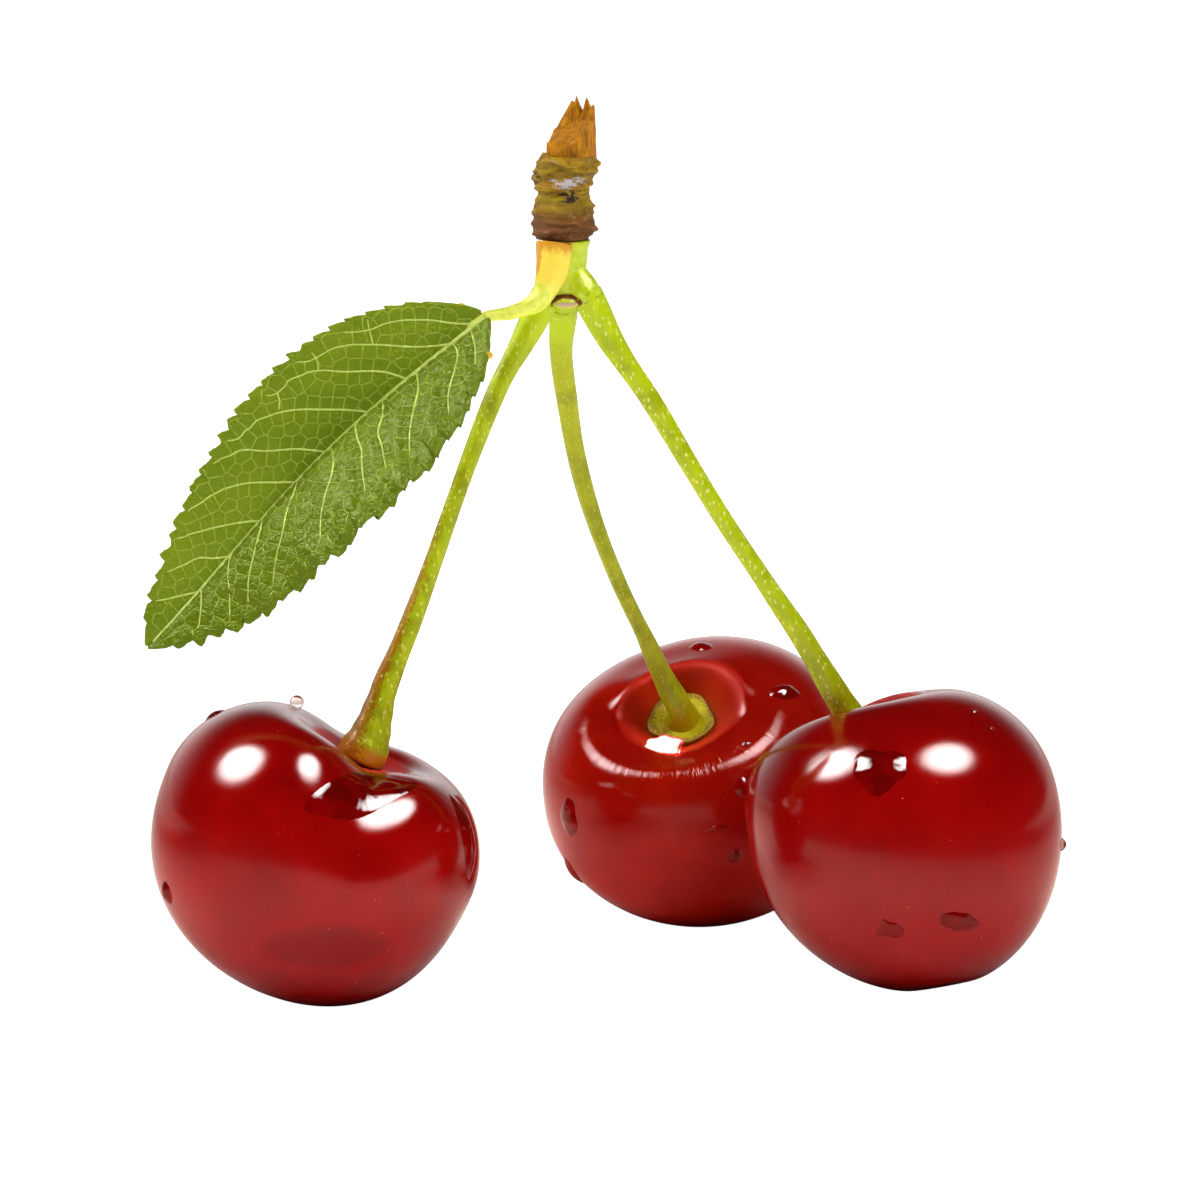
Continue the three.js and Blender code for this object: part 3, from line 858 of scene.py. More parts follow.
@dataclass(frozen=True)
class Studio:
    """The camera, the pale floor and the soft light round the object."""

    eye: tuple[float, float, float] = (-0.6160, -334.4149, 85.4)
    pitch: float = 80.0
    lens: float = 140.31
    lights: tuple[Softbox, ...] = (
        Softbox("softbox_right", (0.41, -0.27, 0.87), 0.27, 0.24, brightness=44.0, power=4.2),
        Softbox("softbox_left", (-0.66, 0.0, 0.73), 0.26, 0.24, brightness=44.0, power=4.2),
    )
    floor_size: float = 12.0
    feet: tuple[tuple[float, float, float], ...] = ((-19.2, -13.0, 0.0), (21.9, -9.1, 0.0), (7.5, 9.6, 0.0))
    shadow_stretch: tuple[float, float, float] = (0.143, 0.278, 1)
    shadow_heart: tuple[float, float, float] = (-2.86, -6.6, 0)

    def build(self) -> None:
        """Sets the camera, lights, floor and surroundings."""
        view = bpy.data.cameras.new("camera")
        view.lens, view.sensor_width = self.lens, 36
        view.clip_start, view.clip_end = 0.01, 100
        holder = bpy.data.objects.new("camera", view)
        bpy.context.scene.collection.objects.link(holder)
        holder.location = [part * MM for part in self.eye]
        holder.rotation_euler = (math.radians(self.pitch), 0, 0)
        bpy.context.scene.camera = holder
        bpy.context.scene.view_settings.view_transform = "Standard"
        for light in self.lights:
            light.build()
        self.floor()
        self.surroundings()

    def floor(self) -> None:
        """A wide pale floor. It glows for the camera, so that it stays as white as the walls."""
        bpy.ops.object.select_all(action="DESELECT")
        bpy.ops.mesh.primitive_plane_add(size=self.floor_size, location=(0, 0, 0))
        plane = bpy.context.object
        plane.name = "floor"
        plane.data.materials.append(self.floor_finish())

    def floor_finish(self) -> bpy.types.Material:
        """White for the camera; for other rays a painted glow, in painted shadow by the fruits' feet."""
        s = Surface("studio_floor")
        spot = s.place()
        mirrored = s.ray(Ray.GLOSSY)
        # The floor that the skins mirror is painted: fading to dark away from the fruits, and paler behind
        # them.
        near = s.distance(spot, (0.0, 0.0, 0.0)).smooth(150.0, 12.0)
        from_foot, *others = [s.distance(spot, foot) for foot in self.feet]
        for other in others:
            from_foot = from_foot.math("MINIMUM", other)
        # Painted contact shadow: dark at the feet of the fruits, clear 26 mm from them.
        clear = from_foot.smooth(5.0, 26.0)
        # A painted shadow oval in front of the left fruit, only in what the skins mirror.
        shadow = s.distance(s.place(self.shadow_stretch), self.shadow_heart).smooth(0.8, 1.08)
        bounced = near * clear * shadow.math("MAXIMUM", 0.3)
        rear = s.dot(spot, (0.0, 1.0, 0.0)).smooth(10.0, 130.0)
        image = s.mix(s.mix(BLACK, paint(238, 200, 178), bounced), paint(212, 196, 186), rear)
        # Diffuse rays get a painted glow under the painted contact shadow; glossy rays get the painted mirror
        # image.
        glow = s.mix(s.mix(BLACK, grey(1.5), clear), image, mirrored)
        pale = s.mix(paint(214, 214, 214), paint(220, 220, 220), s.noise(spot, 0.004, 2))
        return s.finish(
            # For glossy rays the floor's own colour also fades to dark away from the fruits, as painted
            # shade.
            Base_Color=s.mix(s.mix(paint(60, 60, 60), pale, near), pale, 1 - mirrored),
            Roughness=0.9,
            Specular_IOR_Level=0.0,
            Emission_Color=s.mix(glow, WHITE, s.ray(Ray.CAMERA)),
            Emission_Strength=1.0,
        )

    def surroundings(self) -> None:
        """A pale wall behind the object, a dark room over the camera, and the lit softboxes."""
        world = bpy.data.worlds.new("studio")
        world.use_nodes = True
        bpy.context.scene.world = world
        g = Graph(world.node_tree)
        way = g.node("ShaderNodeTexCoord")
        high = g.dot(way, (0, 0, 1))
        behind = g.dot(way, (-0.13, 0.99, 0)).smooth(0.45, 0.92) * high.smooth(0.55, 0.2)
        room = g.mix(paint(34, 32, 32), paint(225, 222, 220), behind)
        glow = g.dot(way, (-0.05, 0.995, 0.08)).smooth(0.75, 0.97) * high.smooth(0.4, 0.12)
        room = g.mix(room, grey(1.15), glow)
        for light in self.lights:
            lit = (*(part * light.brightness for part in light.tint), 1.0)
            room = g.mix(room, lit, light.face(g, way) * g.ray(Ray.GLOSSY))
        shown = g.mix(room, WHITE, g.ray(Ray.CAMERA))
        back = g.node("ShaderNodeBackground", inputs={"Color": shown, "Strength": 1.0})
        g.node("ShaderNodeOutputWorld", inputs={"Surface": back})


# ---- Fruits --------------------------------------------------------------------------------------


def hand_over(
    piece: bpy.types.Object, name: str, material: bpy.types.Material, node: str | None = None
) -> None:
    """Names a finished piece, dresses it and lets it ride on the one body.

    Args:
        piece: The finished piece.
        name: Its name.
        material: Its material.
        node: The CAD node that it stands for.
    """
    piece.name = piece.data.name = name
    piece.data.materials.append(material)
    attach(piece, "root")
    if node:
        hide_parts(node)
    LOG.info("%s: %d faces", name, len(piece.data.polygons))


class DropForm(Enum):
    """How water stands on the skin."""

    BEAD = "bead"
    LENS = "lens"
    FILM = "film"
    POOL = "pool"


@dataclass(frozen=True)
class Drop:
    """Water at one place of a fruit: where it sits, how long and wide it is, and which way it runs.

    It is clear water, or else a wet film that takes its colour from the skin.
    """

    turn: float
    compass: float
    length: float
    width: float
    height: float
    tilt: float = 0.0
    ragged: float = 0.06
    form: DropForm = DropForm.LENS
    seed: int = 1
    clear: bool = False
    sunk: float = 0.012
    probe: float = 3.0
    bead_rise: float = 0.62
    pool_face: tuple[float, float, float] = (-0.44, -0.66, 0.61)

    def outline(self, angle: Array) -> Array:
        """How far the edge lies from the middle, as a share of the oval's own."""
        waves = np.random.default_rng(self.seed)
        edge = np.ones_like(angle)
        for order in (2, 3, 4, 5, 7, 9):
            edge += self.ragged * waves.normal() / order**0.5 * np.cos(order * angle + waves.uniform(0, 6.28))
        return np.clip(edge, 0.4, 1.8)

    def oval(self, turn: Array, compass: Array, long_way: Array, wide_way: Array) -> Array:
        """Places on the ragged oval that lies along two directions, in millimetres from its middle."""
        out = np.sin(turn) * self.outline(compass)
        flat = np.outer(out * np.cos(compass) * self.length / 2, long_way)
        return flat + np.outer(out * np.sin(compass) * self.width / 2, wide_way)

    def build(self, skin: BVHTree, at: Array, facing: Array) -> bpy.types.Object:
        """Makes the drop.

        Args:
            skin: The fruit's skin, in metres in the row's frame.
            at: The middle of the drop on the skin, in millimetres.
            facing: The skin's outward direction there.

        Returns:
            The drop as a closed body whose underside lies just in the skin.
        """
        upright = unit(UP - facing * (UP @ facing))
        across = np.cross(facing, upright)
        lean = math.radians(self.tilt)
        long_way = upright * math.cos(lean) + across * math.sin(lean)
        wide_way = across * math.cos(lean) - upright * math.sin(lean)

        def bead(turn: Array, compass: Array) -> Array:
            radius = self.length / 2
            level = np.outer(np.sin(turn) * np.cos(compass), long_way)
            level += np.outer(np.sin(turn) * np.sin(compass), wide_way)
            return at + facing * radius * self.bead_rise + (np.outer(np.cos(turn), facing) + level) * radius

        def lens(turn: Array, compass: Array) -> Array:
            rise = 1 - np.sin(turn) ** (5 if self.form is DropForm.FILM else 2)
            lift = np.where(turn < math.pi / 2, self.height * rise, -0.03 * rise) - self.sunk
            points = []
            for spot, stand in zip(at + self.oval(turn, compass, long_way, wide_way), lift):
                start = Vector(placed(spot + facing * self.probe))
                hit, normal, _, _ = skin.ray_cast(start, Vector(-facing))
                if hit is None:
                    hit, normal, _, _ = skin.find_nearest(Vector(placed(spot)))
                points.append(np.array(hit) / MM - ORIGIN + np.array(normal) * stand)
            return np.array(points)

        def pool(turn: Array, compass: Array) -> Array:
            face = unit(np.array(self.pool_face))
            level = unit(np.cross(face, UP))
            rise = np.where(turn < math.pi / 2, 0.1, 0.6) * np.cos(turn)
            oval = self.oval(turn, compass, np.cross(level, face), level)
            return at + oval + np.outer(rise + self.height, face)

        shapes = {DropForm.BEAD: (28, 18, bead), DropForm.POOL: (44, 20, pool)}
        return ball(*shapes.get(self.form, (44, 20, lens)))


@dataclass(frozen=True)
class Fruit:
    """One cherry, shaped in its own frame with the stalk end up, then leaned and let down on the floor.

    Attributes:
        name: What its pieces are named after.
        middle: Where its own frame stands on the floor.
        lean: How far its stalk end leans, in degrees.
        towards: The compass angle that it leans to, in degrees, as every compass angle here is.
        radius: Its radius at the widest.
        crown: The height of the half at the stalk.
        base: The height of the half at the blossom end.
        cavity: Depth and radius of the hollow round the stalk, and how steep its wall is.
        shoulder: How much higher one side of the crown stands, its compass angle, and how far
            that fades towards the stalk.
        oval: How far the section is from round, and the compass angle of its longer way.
        crown_shift: How far the crown bends aside, along X and Y.
        base_shift: How far the base bends aside, along X and Y.
        suture: The compass angle of the seam.
        saddle: How deep the crown dips over the seam, or under 0 how far it rises.
        saddle_form: The dip's width round the fruit, and its middle and spread from the stalk out.
        squareness: How square the crown and the base are, 2 being round.
        skin: Its finish.
        drops: The water on it.
        dish: How far the crown is dished on the side that it leans to, from 0 to 1.
        patch: Turn, compass angle, half height and half width of a dark oval painted on its side, as the
            floor's shadow that the skin would mirror.
        flat_depth: How far it is pressed flat where it lies on the floor.
        dish_depth: How deep the dish is at 1.
        dent: Depth and width of the dent at the blossom end.
        groove: How deep the seam is, as a share of the radius, and how wide.
        lip: How far from the stalk the rim of the crown runs, and its width.
    """

    name: str
    middle: tuple[float, float]
    lean: float
    towards: float
    radius: float
    crown: float
    base: float
    cavity: tuple[float, float, float]
    shoulder: tuple[float, float, float]
    oval: tuple[float, float]
    crown_shift: tuple[float, float]
    base_shift: tuple[float, float]
    suture: float
    saddle: float
    saddle_form: tuple[float, float, float]
    squareness: tuple[float, float]
    skin: Skin
    drops: tuple[Drop, ...]
    dish: float = 0.0
    patch: tuple[float, float, float, float] | None = None
    flat_depth: float = 0.12
    dish_depth: float = 1.2
    dent: tuple[float, float] = (0.45, 1.8)
    groove: tuple[float, float] = (0.012, 0.16)
    lip: tuple[float, float] = (6.8, 0.8)

    def skin_point(self, turn: Array, compass: Array) -> Array:
        """A point of the skin in the fruit's own frame.

        Args:
            turn: From 0 at the stalk to pi at the blossom end.
            compass: The angle round the fruit.

        Returns:
            Places in millimetres.
        """
        on_crown = np.cos(turn) > 0
        power = np.where(on_crown, 2 / self.squareness[0], 2 / self.squareness[1])
        near = turn_between(compass, math.radians(self.suture))
        far = turn_between(compass, math.radians(self.suture + 180))
        reach = self.radius * np.maximum(np.sin(turn), 0) ** power
        level = np.sign(np.cos(turn)) * np.abs(np.cos(turn)) ** power
        width, centre, spread = self.saddle_form
        dip = self.saddle * (bell(near, width) + 0.55 * bell(far, width))
        dip = dip * bell(reach / self.radius - centre, spread) * smooth(level, 0.0, 0.5)
        lift = self.shoulder[0] * (1 - self.shoulder[2] * bell(reach, 3.0))
        rise = lift * np.cos(compass - math.radians(self.shoulder[1])) * np.sin(2 * turn)
        ahead = np.cos(compass - math.radians(self.towards))
        mouth = self.cavity[1] * (1 - 0.18 * self.dish * smooth(ahead, 0.3, -0.7))
        hollow = self.cavity[0] * np.exp(-((reach / mouth) ** self.cavity[2]))
        dish = self.dish * smooth(ahead, -0.6, 0.5) * bell(reach - 5.2, 1.7) * smooth(reach, 2.0, 3.4)
        top = level * self.crown - dip - hollow - self.dish_depth * dish + rise
        z = np.where(on_crown, top, level * self.base + self.dent[0] * bell(reach, self.dent[1]))
        groove = self.groove[0] * bell(near, self.groove[1]) * np.sin(turn) ** 2
        oval = self.oval[0] * np.cos(2 * (compass - math.radians(self.oval[1])))
        out = reach * (1 - groove) * (1 + oval)
        shift_x = np.where(on_crown, self.crown_shift[0], self.base_shift[0]) * level**2
        shift_y = np.where(on_crown, self.crown_shift[1], self.base_shift[1]) * level**2
        return np.stack([out * np.cos(compass) + shift_x, out * np.sin(compass) + shift_y, z], axis=-1)

    def axis(self) -> Array:
        """The direction of the stalk end."""
        lean, towards = math.radians(self.lean), math.radians(self.towards)
        aside = math.sin(lean)
        return np.array([aside * math.cos(towards), aside * math.sin(towards), math.cos(lean)])

    def leaned(self, points: Array) -> Array:
        """Points of the fruit's own frame, leaned the shortest way."""
        axis = self.axis()
        pivot = np.cross(UP, axis)
        bend = np.cross(pivot, points)
        return points + bend + np.cross(pivot, bend) / (1 + axis[2])

    def stand(self) -> Array:
        """How far the leaned fruit is moved."""
        turn, compass = np.meshgrid(np.linspace(0, math.pi, 25), np.linspace(0, 2 * math.pi, 41))
        lowest = self.leaned(self.skin_point(turn, compass))[..., 2].min()
        return np.array([*self.middle, -self.flat_depth - lowest])

    def place(self, turn: Array, compass: Array) -> Array:
        """A point of the skin where it stands, pressed flat at the floor."""
        points = self.leaned(self.skin_point(turn, compass)) + self.stand()
        points[..., 2] = np.maximum(points[..., 2], 0)
        return points

    def spot(self, turn: float, compass: float) -> Array:
        """One point of the skin where it stands, from its two angles in degrees."""
        return self.place(np.array([math.radians(turn)]), np.array([math.radians(compass)]))[0]

    def foot(self) -> tuple[Array, Array]:
        """The bottom of the cavity, where the stalk stands, and the way it faces."""
        east, north, west, south = self.place(np.full(4, 0.08), np.arange(4) * math.pi / 2)
        return self.spot(0, 0), unit(np.cross(east - west, north - south))

    def build(self) -> None:
        """Makes the fruit and the water on it."""
        rings: list[tuple[Array, Array]] = []

        def shape(turn: Array, compass: Array) -> Array:
            rings.append((turn, compass))
            return self.place(turn, compass)

        piece = ball(176, 128, shape)
        turn, compass = rings[0]
        far_below = 20.0
        reach = np.where(turn < 1.6, self.radius * np.sin(turn), far_below)
        ahead = smooth(np.cos(compass - math.radians(self.towards)), -0.2, 0.3)
        note(piece, "turn", turn / math.pi)
        note(piece, "reach", reach)
        note(piece, "lip", bell(reach - self.lip[0], self.lip[1]) * ahead)
        # The oval of painted shadow, soft at its edge.
        if self.patch:
            down, round_to, tall, wide = self.patch
            away = (measured(piece) - self.spot(down, round_to)) / np.array([wide, 2 * wide, tall])
            note(piece, "patch", smooth(np.linalg.norm(away, axis=1), 1.2, 0.75))
        name = f"cherry_{self.name}"
        hand_over(piece, f"{name}_skin", self.skin.material(), name)
        self.wet(piece)

    def wet(self, piece: bpy.types.Object) -> None:
        """Lays the water on the finished skin, the clear drops as one piece and the films as another."""
        faces = [tuple(face.vertices) for face in piece.data.polygons]
        skin = BVHTree.FromPolygons(vertices(piece).tolist(), faces)
        water: dict[str, list[bpy.types.Object]] = {"drops": [], "films": []}
        for drop in self.drops:
            at = self.spot(drop.turn, drop.compass)
            _, normal, _, _ = skin.find_nearest(Vector(placed(at)))
            water["drops" if drop.clear else "films"].append(drop.build(skin, at, np.array(normal)))
        film = WetSkin(f"wet_{self.skin.name}", self.skin.deep)
        for (kind, pieces), finish in zip(water.items(), (Water(), film)):
            hand_over(joined(pieces), f"{kind}_{self.name}", finish.material())


# ---- Stalks --------------------------------------------------------------------------------------


@dataclass(frozen=True)
class Stalk:
    """A stalk from the collar to the cavity of its fruit, flared where it meets it.

    Attributes:
        fruit: The fruit that hangs on it.
        points: The points that it passes through, from the collar down.
        finish: Its finish.
        blush: How brown its left side is, from 0 to 1.
        blush_from: The share of the length where the blush starts.
        dome: How far its end bulges.
        radii: Pairs of share of the length and radius.
        disc: The radius of the disc that it grows from, or 0 without one.
        rise: The length of its last stretch, which runs straight out of the cavity.
        gap: How far its end stays over the floor of the cavity.
    """

    fruit: Fruit
    points: tuple[tuple[float, float, float], ...]
    finish: StalkGreen
    blush: float
    blush_from: float
    dome: float
    radii: tuple[tuple[float, float], ...]
    disc: float = 0.0
    rise: float = 0.7
    gap: float = 0.12

    def joint(self) -> tuple[Array, Array]:
        """Where the stalk leaves the collar, and which way it goes."""
        start = np.array(self.points[0])
        return start, unit(np.array(self.points[1]) - start)

    def path(self) -> Path:
        """The stalk's curve, from just inside the collar to over the floor of the cavity."""
        start, ahead = self.joint()
        floor, facing = self.fruit.foot()
        end = floor + facing * (self.gap + self.dome)
        return Path((tuple(start - ahead * 0.6), *self.points, tuple(end + facing * self.rise), tuple(end)))

    def radius(self, share: Array, compass: Array) -> Array:
        """The radius with its shallow ribs."""
        ribs = 0.018 * np.sin(5 * compass + 7 * share) + 0.012 * np.sin(9 * compass - 11 * share)
        knots = 0.02 * np.sin(37 * share + 2 * np.sin(3 * compass)) * smooth(share, 0.55, 0.9)
        return through(self.radii, share) * (1 + ribs + knots)

    def build(self) -> None:
        """Makes the stalk."""
        stem = Stem(self.path(), self.radius, sides=40, rows=200, domes=(0.0, self.dome), dome_rows=8)
        piece = stem.build()
        along = noted(piece, "along")
        west = -(measured(piece) - stem.path.frames(along)[0])[:, 0] / through(self.radii, along)
        note(piece, "blush", self.blush * smooth(along, self.blush_from, 0.85) * smooth(west, -0.5, 0.7))
        note(piece, "foot", smooth(along, 0.955, 0.995))
        note(piece, "fresh", smooth(along, 0.14, 0.03))
        name = f"stalk_{self.fruit.name}"
        hand_over(piece, f"{name}_rind", self.finish.material(), name)
        if self.disc:
            self.receptacle()

    def receptacle(self) -> None:
        """The low disc on the floor of the cavity that the stalk grows from."""
        centre, axis = self.fruit.foot()
        side = unit(np.cross(axis, [0.0, 1.0, 0.0]))
        other = np.cross(axis, side)

        def shape(turn: Array, compass: Array) -> Array:
            out = np.sin(turn) * self.disc * (1 + 0.04 * np.sin(5 * compass) + 0.03 * np.sin(3 * compass + 1))
            lift = np.where(turn < math.pi / 2, 0.22 + 0.3 * np.cos(turn) ** 0.7, -0.3 * np.abs(np.cos(turn)))
            lift = lift + 0.16 * out**2 / self.disc
            flat = np.outer(out * np.cos(compass), side) + np.outer(out * np.sin(compass), other)
            return centre + flat + np.outer(lift, axis)

        piece = ball(64, 40, shape)
        spots = measured(piece) - centre
        out = np.linalg.norm(np.cross(spots, axis), axis=1)
        rim = smooth(out, self.disc * 0.72, self.disc * 0.95)
        note(piece, "blush", 0.9 * rim + 0.8 * bell(spots[:, 0] + 1.2, 0.7))
        note(piece, "foot", 0.6 * smooth(out, self.disc, self.disc * 0.4))
        hand_over(piece, "receptacle", DISC.material(), f"stalk_{self.fruit.name}")


# ---- Leaf ----------------------------------------------------------------------------------------


@dataclass(frozen=True)
class LeafBlade:
    """The toothed blade and its net of veins.

    Attributes:
        base: Its foot.
        tip: Its tip.
        face: The way that its upper face turns.
        half_width: Half its width at the widest.
        thickness: Its thickness.
        fold_left: How far the half at the upper edge folds towards the face, in degrees.
        fold_right: How far the half at the lower edge does, at the foot and at the tip.
        arch: How far the middle line rises out of its plane.
        bow: How far the midrib bends towards the upper edge.
        teeth: Teeth along one edge.
        tooth_height: How far a middling tooth stands out.
        waves: Waves along one edge.
        rows: Rows of its grid, from foot to tip.
        columns: Columns of its grid, from edge to edge.
        finish: The blade's finish.
        vein: The finish of the midrib and the main veins.
        fine_vein: The finish of the net between them.
    """

    base: tuple[float, float, float] = (-8.8, -6.65, 47.9)
    tip: tuple[float, float, float] = (-32.2, -13.65, 25.7)
    face: tuple[float, float, float] = (0.065, -0.965, 0.236)
    half_width: float = 7.4
    thickness: float = 0.3
    fold_left: float = 10.0
    fold_right: tuple[float, float] = (54.0, 26.0)
    arch: float = 1.1
    bow: float = 0.95
    teeth: int = 27
    tooth_height: float = 0.5
    waves: float = 8.5
    rows: int = 330
    columns: int = 128
    finish: Blade = Blade(
        "leaf_upper",
        green=paint(104, 126, 8),
        fresh=paint(122, 144, 16),
        edge=paint(150, 170, 40),
        net=paint(140, 162, 40),
        gloss=0.4,
        relief=0.05,
        shade=paint(78, 96, 0),
    )
    vein: Rib = Rib("leaf_vein", pale=paint(214, 226, 120), green=paint(188, 206, 84))
    fine_vein: Rib = Rib("leaf_vein_fine", pale=paint(168, 188, 64), green=paint(148, 170, 46))

    # The main veins, as places (along, across) on the blade: along runs from the foot to the tip,
    # and across from -1 at the upper edge through 0 at the midrib to 1 at the lower.
    veins = (
        ((0.016, 0), (0.058, -0.35), (0.098, -0.62), (0.154, -0.77), (0.198, -0.78), (0.251, -0.91)),
        ((0.085, 0), (0.113, -0.11), (0.155, -0.3), (0.216, -0.6), (0.275, -0.79),
         (0.334, -0.84), (0.364, -0.92)),
        ((0.212, 0), (0.241, -0.26), (0.306, -0.55), (0.339, -0.71), (0.394, -0.82),
         (0.43, -0.82), (0.463, -0.92)),
        ((0.324, -0.02), (0.346, -0.15), (0.388, -0.36), (0.453, -0.65), (0.512, -0.8),
         (0.554, -0.83), (0.585, -0.94)),
        ((0.445, 0), (0.481, -0.23), (0.54, -0.53), (0.569, -0.72), (0.616, -0.88), (0.642, -0.97)),
        ((0.535, 0), (0.565, -0.17), (0.628, -0.53), (0.67, -0.7), (0.71, -0.82), (0.75, -0.97)),
        ((0.645, 0), (0.674, -0.17), (0.715, -0.4), (0.764, -0.69), (0.8, -0.92)),
        ((0.746, 0), (0.77, -0.17), (0.796, -0.42), (0.828, -0.59), (0.865, -0.88)),
        ((0.845, 0), (0.868, -0.2), (0.893, -0.45), (0.922, -0.85)),
        ((0.216, -0.6), (0.199, -0.78), (0.185, -0.93)),
        ((0.339, -0.71), (0.323, -0.81), (0.319, -0.89)),
        ((0.43, -0.82), (0.456, -0.69)),
        ((0.04, 0), (0.05, 0.3), (0.068, 0.6), (0.1, 0.82)),
        ((0.088, 0), (0.11, 0.4), (0.144, 0.55), (0.179, 0.66), (0.22, 0.86)),
        ((0.185, 0), (0.217, 0.29), (0.266, 0.5), (0.305, 0.65), (0.34, 0.82)),
        ((0.279, 0), (0.309, 0.22), (0.341, 0.34), (0.36, 0.51), (0.395, 0.78)),
        ((0.357, 0), (0.381, 0.21), (0.395, 0.38), (0.42, 0.52), (0.46, 0.78)),
        ((0.43, 0), (0.445, 0.18), (0.475, 0.34), (0.516, 0.48), (0.551, 0.6), (0.595, 0.82)),
        ((0.52, 0), (0.557, 0.14), (0.594, 0.25), (0.636, 0.42), (0.676, 0.55), (0.725, 0.8)),
        ((0.63, 0), (0.664, 0.15), (0.698, 0.28), (0.748, 0.5), (0.79, 0.8)),
        ((0.735, 0), (0.77, 0.2), (0.797, 0.45), (0.835, 0.82)),
        ((0.83, 0), (0.86, 0.3), (0.9, 0.75)),
    )

    def axes(self) -> tuple[Array, Array, Array]:
        """The directions along the blade, out of its upper face, and to its lower edge."""
        along = np.array(self.tip) - np.array(self.base)
        face = np.array(self.face)
        face = unit(face - along * (face @ along) / (along @ along))
        return along, face, unit(np.cross(face, along))

    def half_width_at(self, along: Array) -> Array:
        """Half the width without the teeth."""
        reach = np.sin(math.pi * mixed(0.004, 0.998, along) ** 0.756)
        return self.half_width * reach ** mixed(0.85, 0.75, along)

    def midrib(self, along: Array) -> Array:
        """The middle line of the blade, which bows towards the upper edge."""
        length, face, side = self.axes()
        bow = self.bow * np.clip(np.sin(math.pi * along**0.85), 0, 1) ** 1.4
        arch = self.arch * np.sin(math.pi * along)
        return np.array(self.base) + np.outer(along, length) + np.outer(arch, face) - np.outer(bow, side)

    def tooth(self, along: Array, lower: Array) -> Array:
        """How far the edge stands out in teeth that point to the tip.

        Args:
            along: Places along the edge.
            lower: Whether each is on the lower edge, where the teeth are larger and less even.

        Returns:
            Millimetres.
        """
        waves = np.random.default_rng(5)
        tall = waves.uniform(0.75, 1.2, (2, self.teeth + 2))
        late = waves.uniform(-0.16, 0.16, (2, self.teeth + 2))
        row = lower.astype(int)
        pitch = along * self.teeth
        pitch = pitch + 0.12 * np.sin(5.3 * pitch + 2 * row)
        step = np.clip(np.floor(pitch).astype(int), 0, self.teeth)
        phase = pitch - np.floor(pitch)
        peak = 0.74 + late[row, step] * 0.5
        climb = np.clip(phase / peak, 0, 1)
        fall = np.clip((phase - peak) / (1 - peak), 0, 1)
        main = climb**0.85 * (1 - fall**0.8)
        small = np.clip(1 - np.abs(phase - peak * 0.45) / 0.1, 0, 1) * 0.14
        grown = smooth(along, 0.02, 0.12) * (1 - smooth(along, 0.93, 1.0))
        return self.tooth_height * (main + small) * tall[row, step] * np.where(lower, 1.25, 1.0) * grown

    def point(self, along: Array, across: Array, lift: Array) -> Array:
        """A point of the blade.

        Args:
            along: From 0 at the foot to 1 at the tip.
            across: From -1 at the upper edge to 1 at the lower.
            lift: How far over the middle of the thickness, in millimetres.

        Returns:
            Places in millimetres.
        """
        length, face, side = self.axes()
        lower = across > 0
        opening = mixed(self.fold_right[0], self.fold_right[1], smooth(along, 0.5, 0.9))
        fold = np.radians(np.where(lower, opening, self.fold_left)) * 0.9 * np.where(lower, 1, -1)
        sign = np.where(lower, 1.0, -1.0)
        flat = np.outer(np.cos(fold), side) + np.outer(np.sin(fold), face)
        tooth = self.tooth(along, lower)
        arch = self.arch * np.sin(math.pi * along)
        hidden = np.array(self.base) + np.outer(along, length) + np.outer(arch, face)
        margin = hidden + flat * (sign * self.half_width_at(along))[:, None]
        centre = self.midrib(along)
        share = np.abs(across)
        grown = np.clip(np.sin(math.pi * along), 0, 1)
        wave = 0.28 * np.sin(2 * math.pi * along * self.waves) * share**3 * np.where(lower, 1.0, 0.35) * grown
        bulge = 0.3 * np.sin(math.pi * share**0.8) * np.where(lower, 1.6, 1.0) * grown
        facing = unit(np.outer(np.cos(fold), face) - np.outer(np.sin(fold), side))
        spot = centre + (margin - centre) * share[:, None]
        spot = spot + (flat * sign[:, None] * 0.9 + unit(length) * 0.5) * (tooth * share**5)[:, None]
        return spot + facing * (lift + bulge + wave)[:, None]

    def flat(self, along: Array, across: Array) -> Array:
        """Places on the blade laid flat, in millimetres."""
        length = np.linalg.norm(self.axes()[0])
        return np.stack([along * length, across * self.half_width_at(along)], axis=-1)

    def midline(self, start: float, end: float, count: int) -> Array:
        """Places (along, across) on the midrib."""
        return np.column_stack([np.linspace(start, end, count), np.zeros(count)])

    def seeds(self) -> Array:
        """Middles of the cells between the veins, in pairs along the main ones."""
        dice = np.random.default_rng(11)
        found: list[Array] = []
        for line in (self.midline(0.03, 0.95, 20), *map(np.array, self.veins)):
            route = self.flat(line[:, 0], line[:, 1])
            gone = gone_along(route)
            stops = np.arange(0.5, gone[-1] - 0.2, 0.9)
            spots = read_between(stops, gone, route)
            ahead = unit(read_between(stops + 0.1, gone, route) - spots + 1e-9)
            aside = np.stack([-ahead[:, 1], ahead[:, 0]], axis=1) * 0.46
            for pair in zip(spots + aside, spots - aside):
                if all(np.linalg.norm(spot - other) > 0.62 for spot in pair for other in found):
                    found += pair
        for _ in range(9000):
            along, across = dice.uniform(0.01, 0.99), dice.uniform(-1.12, 1.12)
            spot = self.flat(np.array([along]), np.array([across]))[0]
            if min(np.linalg.norm(np.array(found) - spot, axis=1)) > 0.8:
                found.append(spot)
        return np.array(found)

